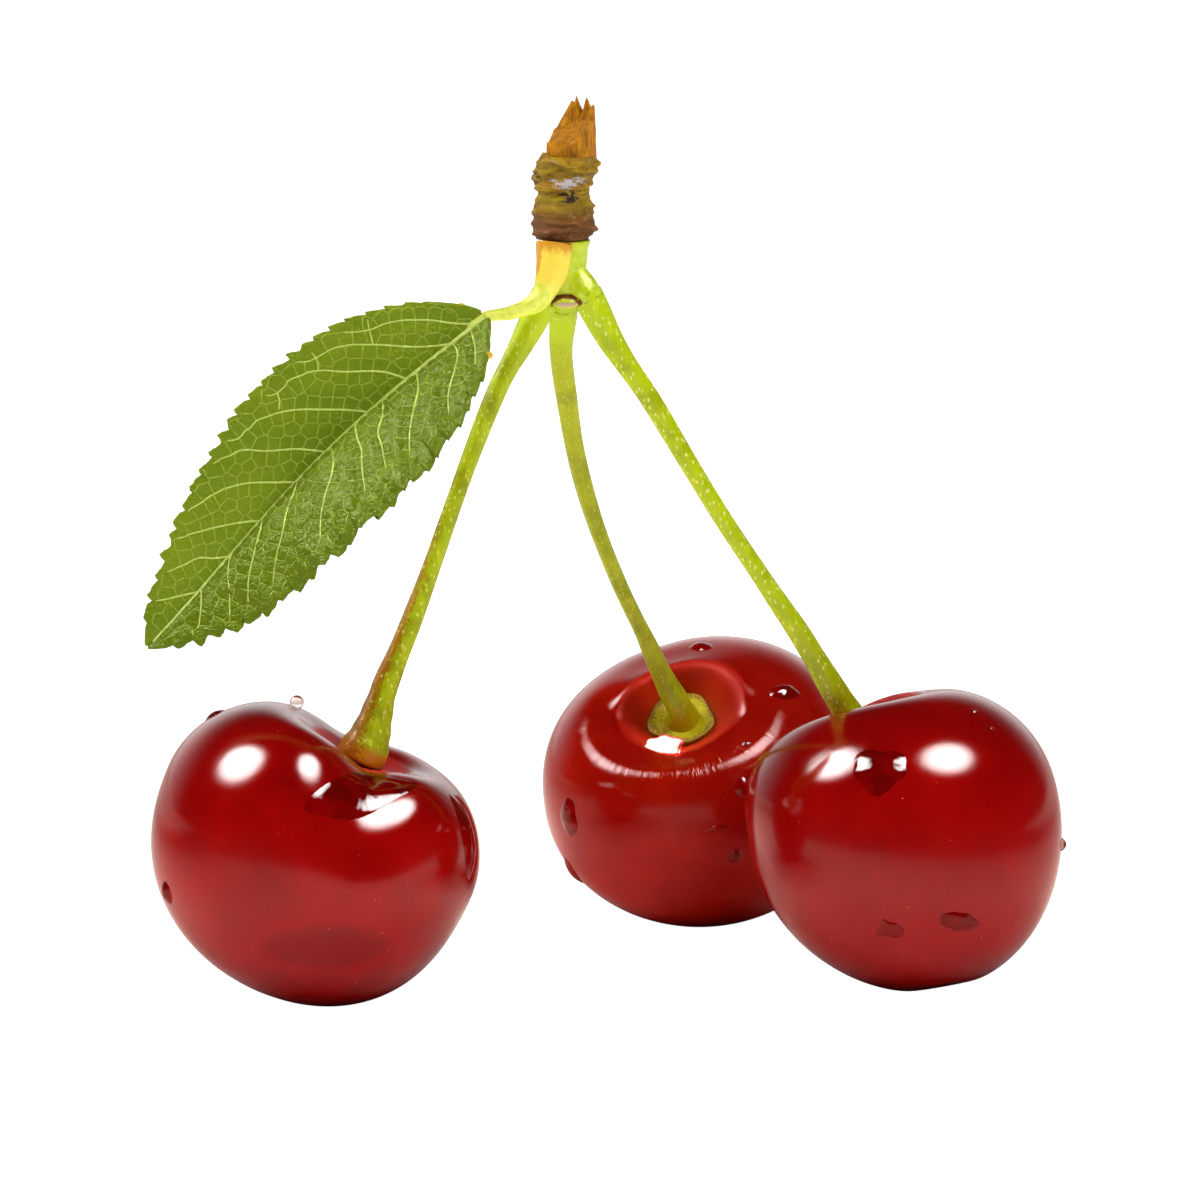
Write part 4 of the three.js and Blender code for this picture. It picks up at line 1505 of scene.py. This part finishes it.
    def net(self) -> list[Array]:
        """The fine veins between the main ones: the borders of the cells, as pairs of (along, across)."""
        seeds = self.seeds()
        points, _, faces, *_ = delaunay_2d_cdt([Vector(s) for s in seeds.tolist()], [], [], 0, 1e-6)
        spots = np.array([list(p) for p in points])
        middles: list[Array] = []
        beside: dict[tuple[int, int], list[int]] = {}
        for index, corners in enumerate(faces):
            a, b, c = spots[list(corners)]
            d = 2 * (a[0] * (b[1] - c[1]) + b[0] * (c[1] - a[1]) + c[0] * (a[1] - b[1]))
            squares = np.array([a @ a, b @ b, c @ c])
            x = squares @ np.array([b[1] - c[1], c[1] - a[1], a[1] - b[1]]) / (d or 1e-9)
            y = squares @ np.array([c[0] - b[0], a[0] - c[0], b[0] - a[0]]) / (d or 1e-9)
            middles.append(np.array([x, y]))
            for one, two in ((0, 1), (1, 2), (2, 0)):
                key = tuple(sorted((corners[one], corners[two])))
                beside.setdefault(key, []).append(index)
        length = np.linalg.norm(self.axes()[0])
        lines = []
        for sides in beside.values():
            if len(sides) != 2:
                continue
            start, end = middles[sides[0]], middles[sides[1]]
            along = np.array([start[0], end[0]]) / length
            if along.min() < 0.02 or along.max() > 0.985 or np.linalg.norm(end - start) < 0.08:
                continue
            across = np.array([start[1], end[1]]) / self.half_width_at(along)
            if np.abs(across).max() < 0.985:
                lines.append(np.stack([along, across], axis=1))
        return lines

    def tree(self, lines: Sequence[Array]) -> KDTree:
        """Close places along lines of (along, across), for finding the nearest."""
        stops = []
        for line in lines:
            route = self.flat(line[:, 0], line[:, 1])
            for start, end in zip(route, route[1:]):
                steps = max(int(np.linalg.norm(end - start) / 0.05), 2)
                stops.append(start + (end - start) * np.linspace(0, 1, steps)[:, None])
        dots = np.vstack(stops)
        tree = KDTree(len(dots))
        for index, dot in enumerate(dots.tolist()):
            tree.insert((*dot, 0.0), index)
        tree.balance()
        return tree

    def near(self, tree: KDTree, spots: Array) -> Array:
        """How far places on the flat blade are from the lines of a tree, in millimetres."""
        return np.array([tree.find((*spot, 0.0))[2] for spot in spots.tolist()])

    def swell(self, along: Array, across: Array, from_main: Array) -> Array:
        """How far the blade swells between its main veins.

        Args:
            along: Places along the blade.
            across: Places across it.
            from_main: How far each is from a main vein, in millimetres.

        Returns:
            Millimetres.
        """
        low = smooth(across, 0.0, 0.1)
        spots = self.flat(along, across)
        lumps = rough(np.column_stack([spots, np.zeros(len(spots))]), 1.1, 2, 3.0)
        quilt = (0.14 + 0.1 * low) * (1 - bell(from_main, 0.9))
        quilt = quilt + lumps * (0.03 + 0.07 * low) * smooth(from_main, 0.1, 0.7)
        return quilt * smooth(1 - np.abs(across), 0.0, 0.1)

    def curved(self, vein: Sequence[tuple[float, float]]) -> Array:
        """A main vein as a smooth line of close places."""
        knots = Path(tuple((a, c * 0.3, 0.0) for a, c in vein)).walk()[::16]
        return np.stack([knots[:, 0], knots[:, 1] / 0.3], axis=1)

    def build(self) -> None:
        """Makes the blade and its veins."""
        main = [self.curved(vein) for vein in self.veins]
        main_tree = self.tree([*main, self.midline(0, 0.985, 60)])
        net = self.net()
        self.build_blade(main_tree, net)
        self.build_veins(main)
        self.build_net(main_tree, net)

    def build_blade(self, main_tree: KDTree, net: list[Array]) -> None:
        """The blade: a fine grid, swollen between its veins and given its thickness."""
        bpy.ops.object.select_all(action="DESELECT")
        bpy.ops.mesh.primitive_grid_add(
            x_subdivisions=self.columns, y_subdivisions=self.rows, size=2, calc_uvs=True
        )
        piece = bpy.context.object
        start = vertices(piece)
        across, along = start[:, 0], 0.5 - start[:, 1] / 2
        spots = self.flat(along, across)
        from_main, from_net = self.near(main_tree, spots), self.near(self.tree(net), spots)
        low = across > 0
        quilt = self.swell(along, across, from_main) + (0.03 + 0.04 * low) * (1 - bell(from_net, 0.2))
        set_vertices(piece, placed(self.point(along, across, quilt)))
        note(piece, "main", from_main)
        note(piece, "net", from_net)
        note(piece, "edge", np.abs(across))
        note(piece, "side", low.astype(float))
        bpy.ops.object.shade_smooth()
        modify(piece, "SOLIDIFY", thickness=self.thickness * MM, offset=0.0)
        hand_over(piece, "leaf_blade", self.finish.material(), "leaf")

    def thread(
        self, line: Array, start: float, end: float, lift: float | Array, sides: int, rows: int
    ) -> bpy.types.Object:
        """One vein: a thin tapered stem that lies half in the blade.

        Args:
            line: Its places (along, across).
            start: Its radius where it starts.
            end: Its radius where it ends.
            lift: How far over the middle of the blade it lies.
            sides: Vertices round it.
            rows: Rings along it.

        Returns:
            The vein.
        """
        spots = self.point(line[:, 0], line[:, 1], np.zeros(len(line)) + lift)
        path = Path(tuple(map(tuple, spots)))
        return Stem(path, lambda share, _: mixed(start, end, share), sides, rows, dome_rows=1).build()

    def build_veins(self, main: list[Array]) -> None:
        """The midrib and the main veins, which stand on both faces."""
        half = self.thickness / 2
        spine = self.midline(0, 0.985, 12)
        threads = [
            self.thread(spine, 0.27, 0.1, half + 0.1, 10, 90),
            self.thread(spine, 0.42, 0.12, -half - 0.12, 12, 90),
        ]
        for line in main:
            long = np.ptp(line[:, 1]) > 0.4
            threads.append(self.thread(line, 0.085 if long else 0.06, 0.045, half + 0.01, 6, 30))
            threads.append(self.thread(line, 0.14 if long else 0.08, 0.06, -half - 0.02, 6, 30))
        hand_over(joined(threads), "leaf_veins", self.vein.material(), "leaf")

    def build_net(self, main_tree: KDTree, net: list[Array]) -> None:
        """The net of fine veins, which lies on the swollen upper face."""
        dice = np.random.default_rng(4)
        threads = []
        for line in net:
            inner = np.stack([np.linspace(*line[:, axis], 4) for axis in (0, 1)], axis=1)
            away = self.near(main_tree, self.flat(inner[:, 0], inner[:, 1]))
            if away.max() > 0.16:
                lift = self.thickness / 2 + 0.004 + self.swell(inner[:, 0], inner[:, 1], away)
                start, end = dice.uniform(0.026, 0.046), dice.uniform(0.026, 0.046)
                threads.append(self.thread(inner, start, end, lift, 4, 4))
        hand_over(joined(threads), "leaf_vein_net", self.fine_vein.material(), "leaf")


@dataclass(frozen=True)
class LeafStalk:
    """The leaf stalk, from its sheath on the spur to the foot of the blade, with the two nectar glands."""

    blade: LeafBlade
    points: tuple[tuple[float, float, float], ...] = (
        (-3.95, -4.75, 52.95),
        (-4.25, -5.15, 50.6),
        (-5.05, -5.6, 49.05),
        (-6.9, -6.2, 48.2),
    )
    glands: tuple[tuple[float, float, float], ...] = ((0.02, -1.0, 0.22), (0.058, 1.0, 0.25))
    radii: tuple[tuple[float, float], ...] = (
        (0, 1.3),
        (0.14, 1.18),
        (0.36, 0.78),
        (0.5, 0.54),
        (0.66, 0.42),
        (0.8, 0.38),
        (1, 0.2),
    )
    rind: Rib = Rib(
        "leaf_stalk_rind",
        pale=paint(238, 242, 110),
        green=paint(214, 224, 54),
        gold=paint(254, 222, 76),
        amber=paint(214, 132, 14),
    )
    bud: Rib = Rib(
        "gland",
        pale=paint(226, 206, 70),
        green=paint(206, 180, 40),
        gold=paint(230, 176, 40),
        amber=paint(216, 96, 16),
    )

    def radius(self, share: Array, compass: Array) -> Array:
        """A wide sheath that narrows to a slim stalk, channelled along its upper side."""
        channel = 0.14 * bell(turn_between(compass, math.pi / 2), 0.5) * smooth(share, 0.35, 0.55)
        return through(self.radii, share) * (1 - channel + 0.03 * np.sin(6 * compass + 5 * share))

    def build(self) -> None:
        """Makes the stalk and its glands."""
        foot, inside = self.blade.midrib(np.array([0.0, 0.1]))
        path = Path((*self.points, tuple(foot), tuple(inside + np.array([0, 0.25, 0]))))
        piece = Stem(path, self.radius, sides=36, rows=140, domes=(0.0, 0.2)).build()
        along = noted(piece, "along")
        west = -(measured(piece) - path.frames(along)[0])[:, 0]
        note(piece, "gold", smooth(along, 0.42, 0.12))
        scorched = smooth(west, 0.5, 1.1) * smooth(along, 0.4, 0.25)
        note(piece, "amber", np.maximum(smooth(along, 0.12, 0.0), scorched))
        hand_over(piece, "leaf_stalk", self.rind.material(), "leaf")
        buds = joined([self.gland(*gland) for gland in self.glands])
        note(buds, "gold", np.ones(len(buds.data.vertices)))
        hand_over(buds, "glands", self.bud.material(), "leaf")

    def gland(self, along: float, across: float, size: float) -> bpy.types.Object:
        """One nectar gland, a small lobed bead at a place of the blade."""
        centre = self.blade.point(np.array([along]), np.array([across]), np.array([0.0]))[0]

        def shape(turn: Array, compass: Array) -> Array:
            out = np.sin(turn) * (1 + 0.1 * np.cos(3 * compass)) * size
            spots = [out * np.cos(compass), out * np.sin(compass), size * np.cos(turn)]
            return centre + np.stack(spots, axis=-1)

        return ball(20, 14, shape)


# ---- Spur ----------------------------------------------------------------------------------------


@dataclass(frozen=True)
class Spur:
    """The fruiting spur: green collar, ringed bark and torn wood."""

    stalks: tuple[Stalk, ...]
    axis: tuple[float, float] = (-3.15, -3.65)
    collar: tuple[float, float] = (49.0, 53.1)
    collar_radii: tuple[tuple[float, float], ...] = (
        (0, 1.1),
        (0.15, 1.32),
        (0.45, 1.42),
        (0.8, 1.54),
        (1, 1.74),
    )
    collar_voxel: float = 0.075
    stub_top: float = 51.6
    bark: tuple[float, float] = (53.17, 59.0)
    bark_rings: int = 150
    bark_ends: int = 6
    wood: float = 59.0
    wood_middle: tuple[float, float] = (-2.8, -3.55)
    wood_radius: float = 1.72
    wood_heights: tuple[float, float] = (0.5, 2.9)
    wood_high_side: float = 40.0
    slivers: int = 34
    scar: tuple[float, float, float] = (-3.15, -5.0, 48.75)
    scar_size: tuple[float, float, float] = (0.98, 0.5, 0.42)
    scar_reach: tuple[float, float, float] = (0.98, 0.7, 0.42)

    # The rings of the wood where its wall starts, its rim stands and its pith starts, and their number.
    wood_rings = (5, 55, 75, 90)

    # The bark's outline: share of its height, radius, and how far its middle lies to the right.
    outline = (
        (0.0, 1.95, -0.28),
        (0.05, 2.08, -0.2),
        (0.12, 2.27, -0.1),
        (0.19, 2.29, -0.18),
        (0.26, 2.22, -0.17),
        (0.33, 2.24, -0.17),
        (0.4, 2.18, -0.19),
        (0.48, 2.04, -0.2),
        (0.55, 1.88, -0.18),
        (0.6, 1.9, -0.26),
        (0.67, 2.1, -0.27),
        (0.75, 2.2, -0.17),
        (0.84, 2.3, 0.06),
        (0.93, 2.24, 0.08),
        (1.0, 1.95, 0.17),
    )

    # The raised lips of the bark: share of the height, how far each stands out, how much it wanders,
    # and a seed.
    lips = (
        (0.03, 0.16, 0.02, 1.0),
        (0.12, 0.2, 0.035, 2.0),
        (0.2, 0.14, 0.03, 3.0),
        (0.29, 0.16, 0.035, 4.0),
        (0.38, 0.15, 0.03, 5.0),
        (0.5, 0.1, 0.03, 6.0),
        (0.6, 0.16, 0.022, 7.0),
        (0.645, 0.16, 0.022, 8.0),
        (0.72, 0.16, 0.03, 9.0),
        (0.83, 0.2, 0.035, 10.0),
        (0.92, 0.2, 0.03, 11.0),
    )

    # The tall splinters of the wood: compass angle, height and half the width in degrees.
    splinters = ((74, 1.5, 20), (88, 1.3, 40), (42, 1.15, 14), (4, 0.95, 15), (-32, 0.5, 16))

    def build(self) -> None:
        """Makes the three pieces."""
        self.build_collar()
        self.build_bark()
        self.build_wood()

    def build_collar(self) -> None:
        """The collar: a short column with a stub for each stalk, melted into one."""
        low, high = self.collar
        x, y = self.axis
        column = Path(((x, y, low), (x, y, mixed(low, high, 0.5)), (x, y, high)))
        body = Stem(column, lambda share, _: through(self.collar_radii, share), 40, 40, dome_rows=3)
        stubs = [self.stub(stalk) for stalk in self.stalks]
        scar = np.array(self.scar)

        def knob(turn: Array, compass: Array) -> Array:
            aim = [np.sin(turn) * np.cos(compass), np.sin(turn) * np.sin(compass), np.cos(turn)]
            return scar + np.stack(aim, axis=-1) * np.array(self.scar_size)

        piece = joined([part.build() for part in (body, *stubs)] + [ball(24, 16, knob)])
        modify(piece, "REMESH", mode="VOXEL", voxel_size=self.collar_voxel * MM)
        modify(piece, "SMOOTH", factor=0.6, iterations=9)
        spots = measured(piece)
        swell = rough(spots, 1.1, 3, 2.0) * 0.05
        normals = np.empty(len(spots) * 3)
        piece.data.vertices.foreach_get("normal", normals)
        set_vertices(piece, placed(spots + normals.reshape(-1, 3) * swell[:, None]))
        bpy.ops.object.shade_smooth()
        from_scar = np.linalg.norm((spots - scar) / np.array(self.scar_reach), axis=1)
        rim = np.zeros(len(spots))
        for stalk in self.stalks:
            end, ahead = stalk.joint()
            level = (spots - end) @ ahead
            clear = 1.0 if end[0] > x else 0.0
            close = np.linalg.norm(spots - end, axis=1) < 1.6
            rim = np.maximum(rim, clear * bell(level - 0.02, 0.14) * close)
        front = smooth(-(spots[:, 1] - y), -0.2, 0.5)
        over = spots[:, 2] - scar[2]
        ring = bell(from_scar - 1.15, mixed(0.12, 0.36, smooth(over, -0.25, 0.2)))
        note(piece, "gold", smooth(spots[:, 2], 51.9, 53.0) * 0.75 * smooth(-spots[:, 0], 1.9, 3.2))
        note(piece, "brown", np.maximum(rim, ring * front))
        note(piece, "wood", smooth(from_scar, 1.0, 0.75) * front * smooth(-over, -0.2, 0.05))
        hand_over(piece, "collar_rind", CollarRind().material(), "collar")

    def stub(self, stalk: Stalk) -> Stem:
        """The stub that a stalk grows from, bent out of the column."""
        end, ahead = stalk.joint()
        bend, top = end - ahead * 0.8, np.array([*self.axis, self.stub_top])
        path = Path((tuple(top), tuple(mixed(top, bend, 0.6)), tuple(bend), tuple(end)))
        wide = stalk.radii[0][1] + 0.03
        return Stem(path, lambda share, _: mixed(0.8, wide, share), sides=32, rows=36, dome_rows=3)

    def build_bark(self) -> None:
        """The bark: a turned body whose rings stand out in ragged lips."""
        low, high = self.bark
        rings, ends = self.bark_rings, self.bark_ends
        heights, radii, offsets = zip(*self.outline)
        notes: list[tuple[Array, Array]] = []

        def shape(turn: Array, compass: Array) -> Array:
            ring = turn / math.pi * rings
            share = 1 - np.clip((ring - ends) / (rings - 2 * ends), 0, 1)
            close = np.clip(ring / ends, 0, 1) * np.clip((rings - ring) / ends, 0, 1)
            wander = 0.012 * np.sin(2 * compass + 1) + 0.008 * np.sin(5 * compass)
            out = np.interp(share + wander, heights, radii)
            middle = np.interp(share, heights, offsets)
            crest = np.zeros_like(share)
            for at, rise, drift, seed in self.lips:
                here = at + drift * np.sin(2 * compass + seed * 1.7)
                here = here + 0.5 * drift * np.sin(5 * compass + seed * 2.3)
                over = share - here
                edge = np.where(over < 0, bell(over, 0.012), bell(over, 0.04))
                strong = 0.55 + 0.45 * np.sin(3 * compass + seed * 4.1)
                crest = np.maximum(crest, edge * (rise / 0.2) * strong)
            spots = np.stack([out * np.cos(compass), out * np.sin(compass), share * (high - low)], axis=-1)
            lumps = rough(spots, 0.9, 4, 5.0)
            notes.append((np.clip(crest + 0.25 * lumps, 0, 1), share))
            out = out - 0.11 + 0.28 * crest + 0.1 * lumps
            x = self.axis[0] + middle + out * close * np.cos(compass)
            y = self.axis[1] + out * close * np.sin(compass)
            hump = 0.3 * bell(turn_between(compass, math.radians(195)), 0.3) * smooth(share, 0.93, 1)
            return np.stack([x, y, mixed(low, high, share) + hump * close], axis=-1)

        piece = ball(168, rings, shape)
        spots = measured(piece)
        front = spots[:, 1] < self.axis[1] + 0.4

        def blotch(x: float, z: float, half_width: float) -> Array:
            across, up = (spots[:, 0] - x) / half_width, (spots[:, 2] - z) / 0.6
            return bell(across, 0.8) * bell(up, 0.8)

        crest, level = notes[0]
        note(piece, "crest", crest)
        note(piece, "level", level)
        note(piece, "pale", blotch(-2.9, 57.3, 1.5) * front)
        note(piece, "dark", np.maximum(blotch(-2.9, 56.3, 1.0) * front, blotch(-5.3, 57.5, 0.5)))
        hand_over(piece, "bark_rings", Bark().material(), "bark")

    def build_wood(self) -> None:
        """The torn wood: a slanted face of fibres with a rim of splinters."""
        x, y = self.wood_middle
        bottom, radius, (low, high) = self.wood, self.wood_radius, self.wood_heights
        foot_ring, rim_ring, pith_ring, rings = self.wood_rings
        dice = np.random.default_rng(9)
        slivers = [
            (dice.uniform(-180, 180), dice.uniform(0.06, 0.26), dice.uniform(3, 8))
            for _ in range(self.slivers)
        ]
        depths: list[Array] = []

        def shape(turn: Array, compass: Array) -> Array:
            ring = rings - turn / math.pi * rings
            side = np.cos(turn_between(compass, math.radians(self.wood_high_side)))
            rise = np.zeros_like(compass)
            for at, height, width in (*self.splinters, *slivers):
                away = np.abs(turn_between(compass, math.radians(at))) / math.radians(width)
                rise = np.maximum(rise, height * np.clip(1 - away, 0, 1))
            rim = bottom + mixed(low, high, 0.5 + 0.5 * side) + rise
            pith = bottom + mixed(low, high, 0.5 + 0.31 * side)
            wall = np.clip((ring - foot_ring) / (rim_ring - foot_ring), 0, 1)
            inner = np.clip((ring - rim_ring) / (pith_ring - rim_ring), 0, 1)
            floor = np.clip((ring - pith_ring) / (rings - pith_ring), 0, 1)
            height = mixed(bottom - 0.3, rim, wall)
            height = np.where(ring > rim_ring, mixed(rim, pith, inner), height)
            height = np.where(ring > pith_ring, mixed(pith, bottom + mixed(low, high, 0.5), floor), height)
            out = np.clip(ring / foot_ring, 0, 1) * radius * (1 - 0.08 * rise * wall)
            out = np.where(ring > rim_ring, radius * mixed(0.97 - 0.08 * rise, 0.62, inner**0.6), out)
            out = np.where(ring > pith_ring, radius * 0.62 * (1 - floor), out)
            spots = np.stack([np.cos(compass) * 1.6, np.sin(compass) * 1.6, height * 0.16], axis=-1)
            fade = np.clip(ring / foot_ring, 0, 1) * np.clip((rings - ring) / 20, 0, 1)
            fibres = np.where(ring > rim_ring, 0.06, 0.13) * rough(spots, 0.5, 4, 8.0)
            out = out + fibres * fade + 0.05 * np.sin(4 * compass) * radius * fade
            depths.append(np.where(ring > rim_ring, 0.5 * inner, 0.35 * (1 - wall) * (wall > 0)))
            return np.stack([x + out * np.cos(compass), y + out * np.sin(compass), height], axis=-1)

        piece = ball(240, rings, shape)
        note(piece, "depth", depths[0])
        hand_over(piece, "torn_fibres", TornFibre().material(), "torn_wood")


# ---- The cluster ---------------------------------------------------------------------------------


class Ripeness(Enum):
    """The skins of the cluster."""

    RIPE = Skin(
        name="cherry_skin",
        deep=paint(132, 2, 2),
        bright=paint(168, 6, 3),
        painted_underlight=paint(156, 14, 10),
        cavity=paint(84, 8, 4),
        ring=paint(150, 30, 2),
        gleam=0.56,
    )
    LIGHT = Skin(
        name="cherry_skin_light",
        deep=paint(150, 6, 2),
        bright=paint(186, 26, 6),
        painted_underlight=paint(160, 18, 10),
        cavity=paint(120, 60, 4),
        ring=paint(204, 52, 10),
        ring_share=0.6,
        streaked=0.08,
        gleam=0.32,
    )


LEFT = Fruit(
    name="left",
    middle=(-20.42, -11.65),
    lean=27.0,
    towards=-31.1,
    radius=11.64,
    crown=9.99,
    base=11.65,
    cavity=(4.48, 5.17, 2),
    shoulder=(1.95, 262.6, 0),
    oval=(0, 0),
    crown_shift=(0.48, 0.6),
    base_shift=(0.57, 0),
    suture=-83,
    saddle=2.05,
    saddle_form=(0.47, 0.706, 0.393),
    squareness=(1.856, 2.408),
    skin=Ripeness.RIPE.value,
    drops=(
        Drop(64.5, 163.5, 1.7, 1.2, 0.26, 0, seed=3),
        Drop(39, 135.5, 1.0, 1.0, 0, form=DropForm.BEAD, clear=True),
        Drop(38, -85, 3.4, 8.6, 0.1, 4, 0.1, DropForm.FILM, 12),
        Drop(116.5, -145, 1.9, 1.5, 0.34, -10, 0.04, seed=5),
        Drop(57.5, -19, 6.4, 2.4, 0.34, 0, 0.0, seed=8),
    ),
    patch=(100, -77, 1.7, 4.4),
)
RIGHT = Fruit(
    name="right",
    middle=(20.93, -7.79),
    lean=20.2,
    towards=120,
    radius=11.16,
    crown=9.52,
    base=12.24,
    cavity=(3.8, 3.9, 2),
    shoulder=(0.93, 28, 0),
    oval=(0, 0),
    crown_shift=(-2.08, 0.6),
    base_shift=(0.7, 0),
    suture=60,
    saddle=-1.0,
    saddle_form=(0.86, 0.333, 0.3),
    squareness=(2.383, 1.978),
    skin=Ripeness.RIPE.value,
    drops=(
        Drop(72.5, -97, 3.5, 3.7, 0.3, 10, 0.12, seed=21),
        Drop(129.5, -110.5, 1.7, 1.7, 0.22, 30, 0.16, seed=22),
        Drop(131.5, -77.5, 1.6, 3.0, 0.24, -14, 0.12, seed=23),
        Drop(107, -3, 1.0, 0.9, 0.36, 0, 0.05, seed=25, clear=True),
        Drop(54, -43, 0.5, 0.6, 0.12, 0, seed=26),
        Drop(64.5, -44, 0.5, 0.5, 0.12, 0, seed=27),
    ),
)
BACK = Fruit(
    name="back",
    middle=(6.75, 13.46),
    lean=39.0,
    towards=-97,
    radius=11.82,
    crown=9.9,
    base=9.21,
    cavity=(3.71, 4.0, 5),
    shoulder=(1.925, -78, 1),
    oval=(0.048, 47),
    crown_shift=(-0.9, 0),
    base_shift=(3.36, 0),
    suture=100,
    saddle=0.5,
    saddle_form=(0.75, 0.5, 0.3),
    squareness=(2.334, 2.367),
    skin=Ripeness.LIGHT.value,
    drops=(
        Drop(35, 78.5, 1.7, 2.2, 0.3, 0, 0.06, seed=31),
        Drop(36.5, 4.5, 1.7, 2.6, 0.42, 0, 0.05, seed=32),
        Drop(50.5, -65, 1.7, 1.4, 0.34, 0, 0.03, seed=24),
        Drop(33.5, -48, 0.6, 0.8, 0.14, 0, seed=34),
        Drop(70.5, -145, 3.1, 2.3, 0.34, -20, 0.05, seed=35),
        Drop(98, -145, 2.8, 1.4, 0.3, -10, 0.05, seed=36),
        Drop(63, -81.5, 0.5, 1.7, 0.12, 8, 0.12, seed=37),
        Drop(76, -77, 1.4, 1.1, 0.2, 0, seed=33),
        Drop(19, -112, 2.5, 3.4, 0.16, 20, 0.22, DropForm.POOL, 38, clear=True),
    ),
    dish=1.0,
)

SUNNY = StalkGreen(
    name="stalk_left_rind",
    green=paint(172, 186, 6),
    light=paint(206, 214, 26),
    shade=paint(142, 148, 4),
    speck=paint(226, 222, 90),
    blush=paint(164, 92, 4),
    foot=paint(214, 148, 8),
    speckled=0.85,
)
BRIGHT = StalkGreen(
    name="stalk_right_rind",
    green=paint(188, 204, 4),
    light=paint(216, 228, 24),
    shade=paint(162, 176, 2),
    speck=paint(238, 238, 124),
    blush=paint(150, 110, 10),
    foot=paint(220, 216, 30),
    speckled=0.95,
)
SHADED = StalkGreen(
    name="stalk_back_rind",
    green=paint(180, 186, 12),
    light=paint(200, 206, 36),
    shade=paint(154, 160, 10),
    speck=paint(216, 214, 90),
    blush=paint(110, 76, 6),
    foot=paint(184, 178, 6),
    speckled=0.5,
)
DISC = StalkGreen(
    name="receptacle",
    green=paint(180, 172, 4),
    light=paint(204, 194, 12),
    shade=paint(142, 130, 4),
    speck=paint(212, 198, 30),
    blush=paint(112, 78, 4),
    foot=paint(184, 174, 6),
    speckled=0.6,
    dull=0.5,
)


STALKS = (
    Stalk(
        fruit=LEFT,
        points=(
            (-5.07, -4.3, 48.27),
            (-6.15, -4.95, 46.13),
            (-7.67, -5.82, 43.38),
            (-9.42, -6.85, 39.25),
            (-10.96, -7.89, 35.13),
            (-12.43, -8.92, 31.02),
            (-13.97, -9.95, 26.91),
            (-15.68, -10.98, 22.82),
        ),
        finish=SUNNY,
        blush=1.0,
        blush_from=0.15,
        dome=0.3,
        radii=(
            (0, 1.08),
            (0.18, 0.7),
            (0.42, 0.6),
            (0.55, 0.63),
            (0.75, 0.76),
            (0.86, 0.94),
            (0.905, 1.14),
            (0.945, 1.4),
            (0.975, 1.7),
            (0.99, 1.73),
        ),
    ),
    Stalk(
        fruit=RIGHT,
        points=(
            (-1.46, -4.5, 48.83),
            (-0.01, -4.58, 46.07),
            (2.86, -4.71, 41.81),
            (5.43, -4.83, 37.53),
            (8.05, -4.96, 33.24),
            (10.9, -5.08, 28.93),
            (13.78, -5.21, 24.6),
            (15.95, -5.31, 20.99),
        ),
        finish=BRIGHT,
        blush=0.25,
        blush_from=0.2,
        dome=0.9,
        radii=((0, 1.12), (0.2, 0.74), (0.45, 0.655), (0.62, 0.66), (0.8, 0.8), (0.92, 0.98), (1, 1.3)),
    ),
    Stalk(
        fruit=BACK,
        points=(
            (-3.38, -2.3, 47.58),
            (-3.55, -1.43, 45.33),
            (-3.12, 0.16, 41.16),
            (-2.38, 1.89, 36.55),
            (-1.15, 3.63, 31.87),
            (0.54, 5.37, 27.13),
            (2.66, 7.1, 22.33),
            (4.24, 8.4, 18.68),
        ),
        finish=SHADED,
        blush=0.3,
        blush_from=0.2,
        dome=0.5,
        radii=(
            (0, 1.0),
            (0.12, 0.8),
            (0.35, 0.67),
            (0.6, 0.575),
            (0.74, 0.565),
            (0.86, 0.74),
            (0.96, 0.97),
            (1, 1.4),
        ),
        disc=2.45,
    ),
)


def main() -> None:
    logging.basicConfig(level=logging.INFO, format="%(message)s")
    blade = LeafBlade()
    for part in (Studio(), LEFT, RIGHT, BACK, *STALKS, blade, LeafStalk(blade), Spur(STALKS)):
        part.build()
        LOG.info("built a %s", type(part).__name__)
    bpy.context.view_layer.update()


if __name__ == "__main__":
    main()
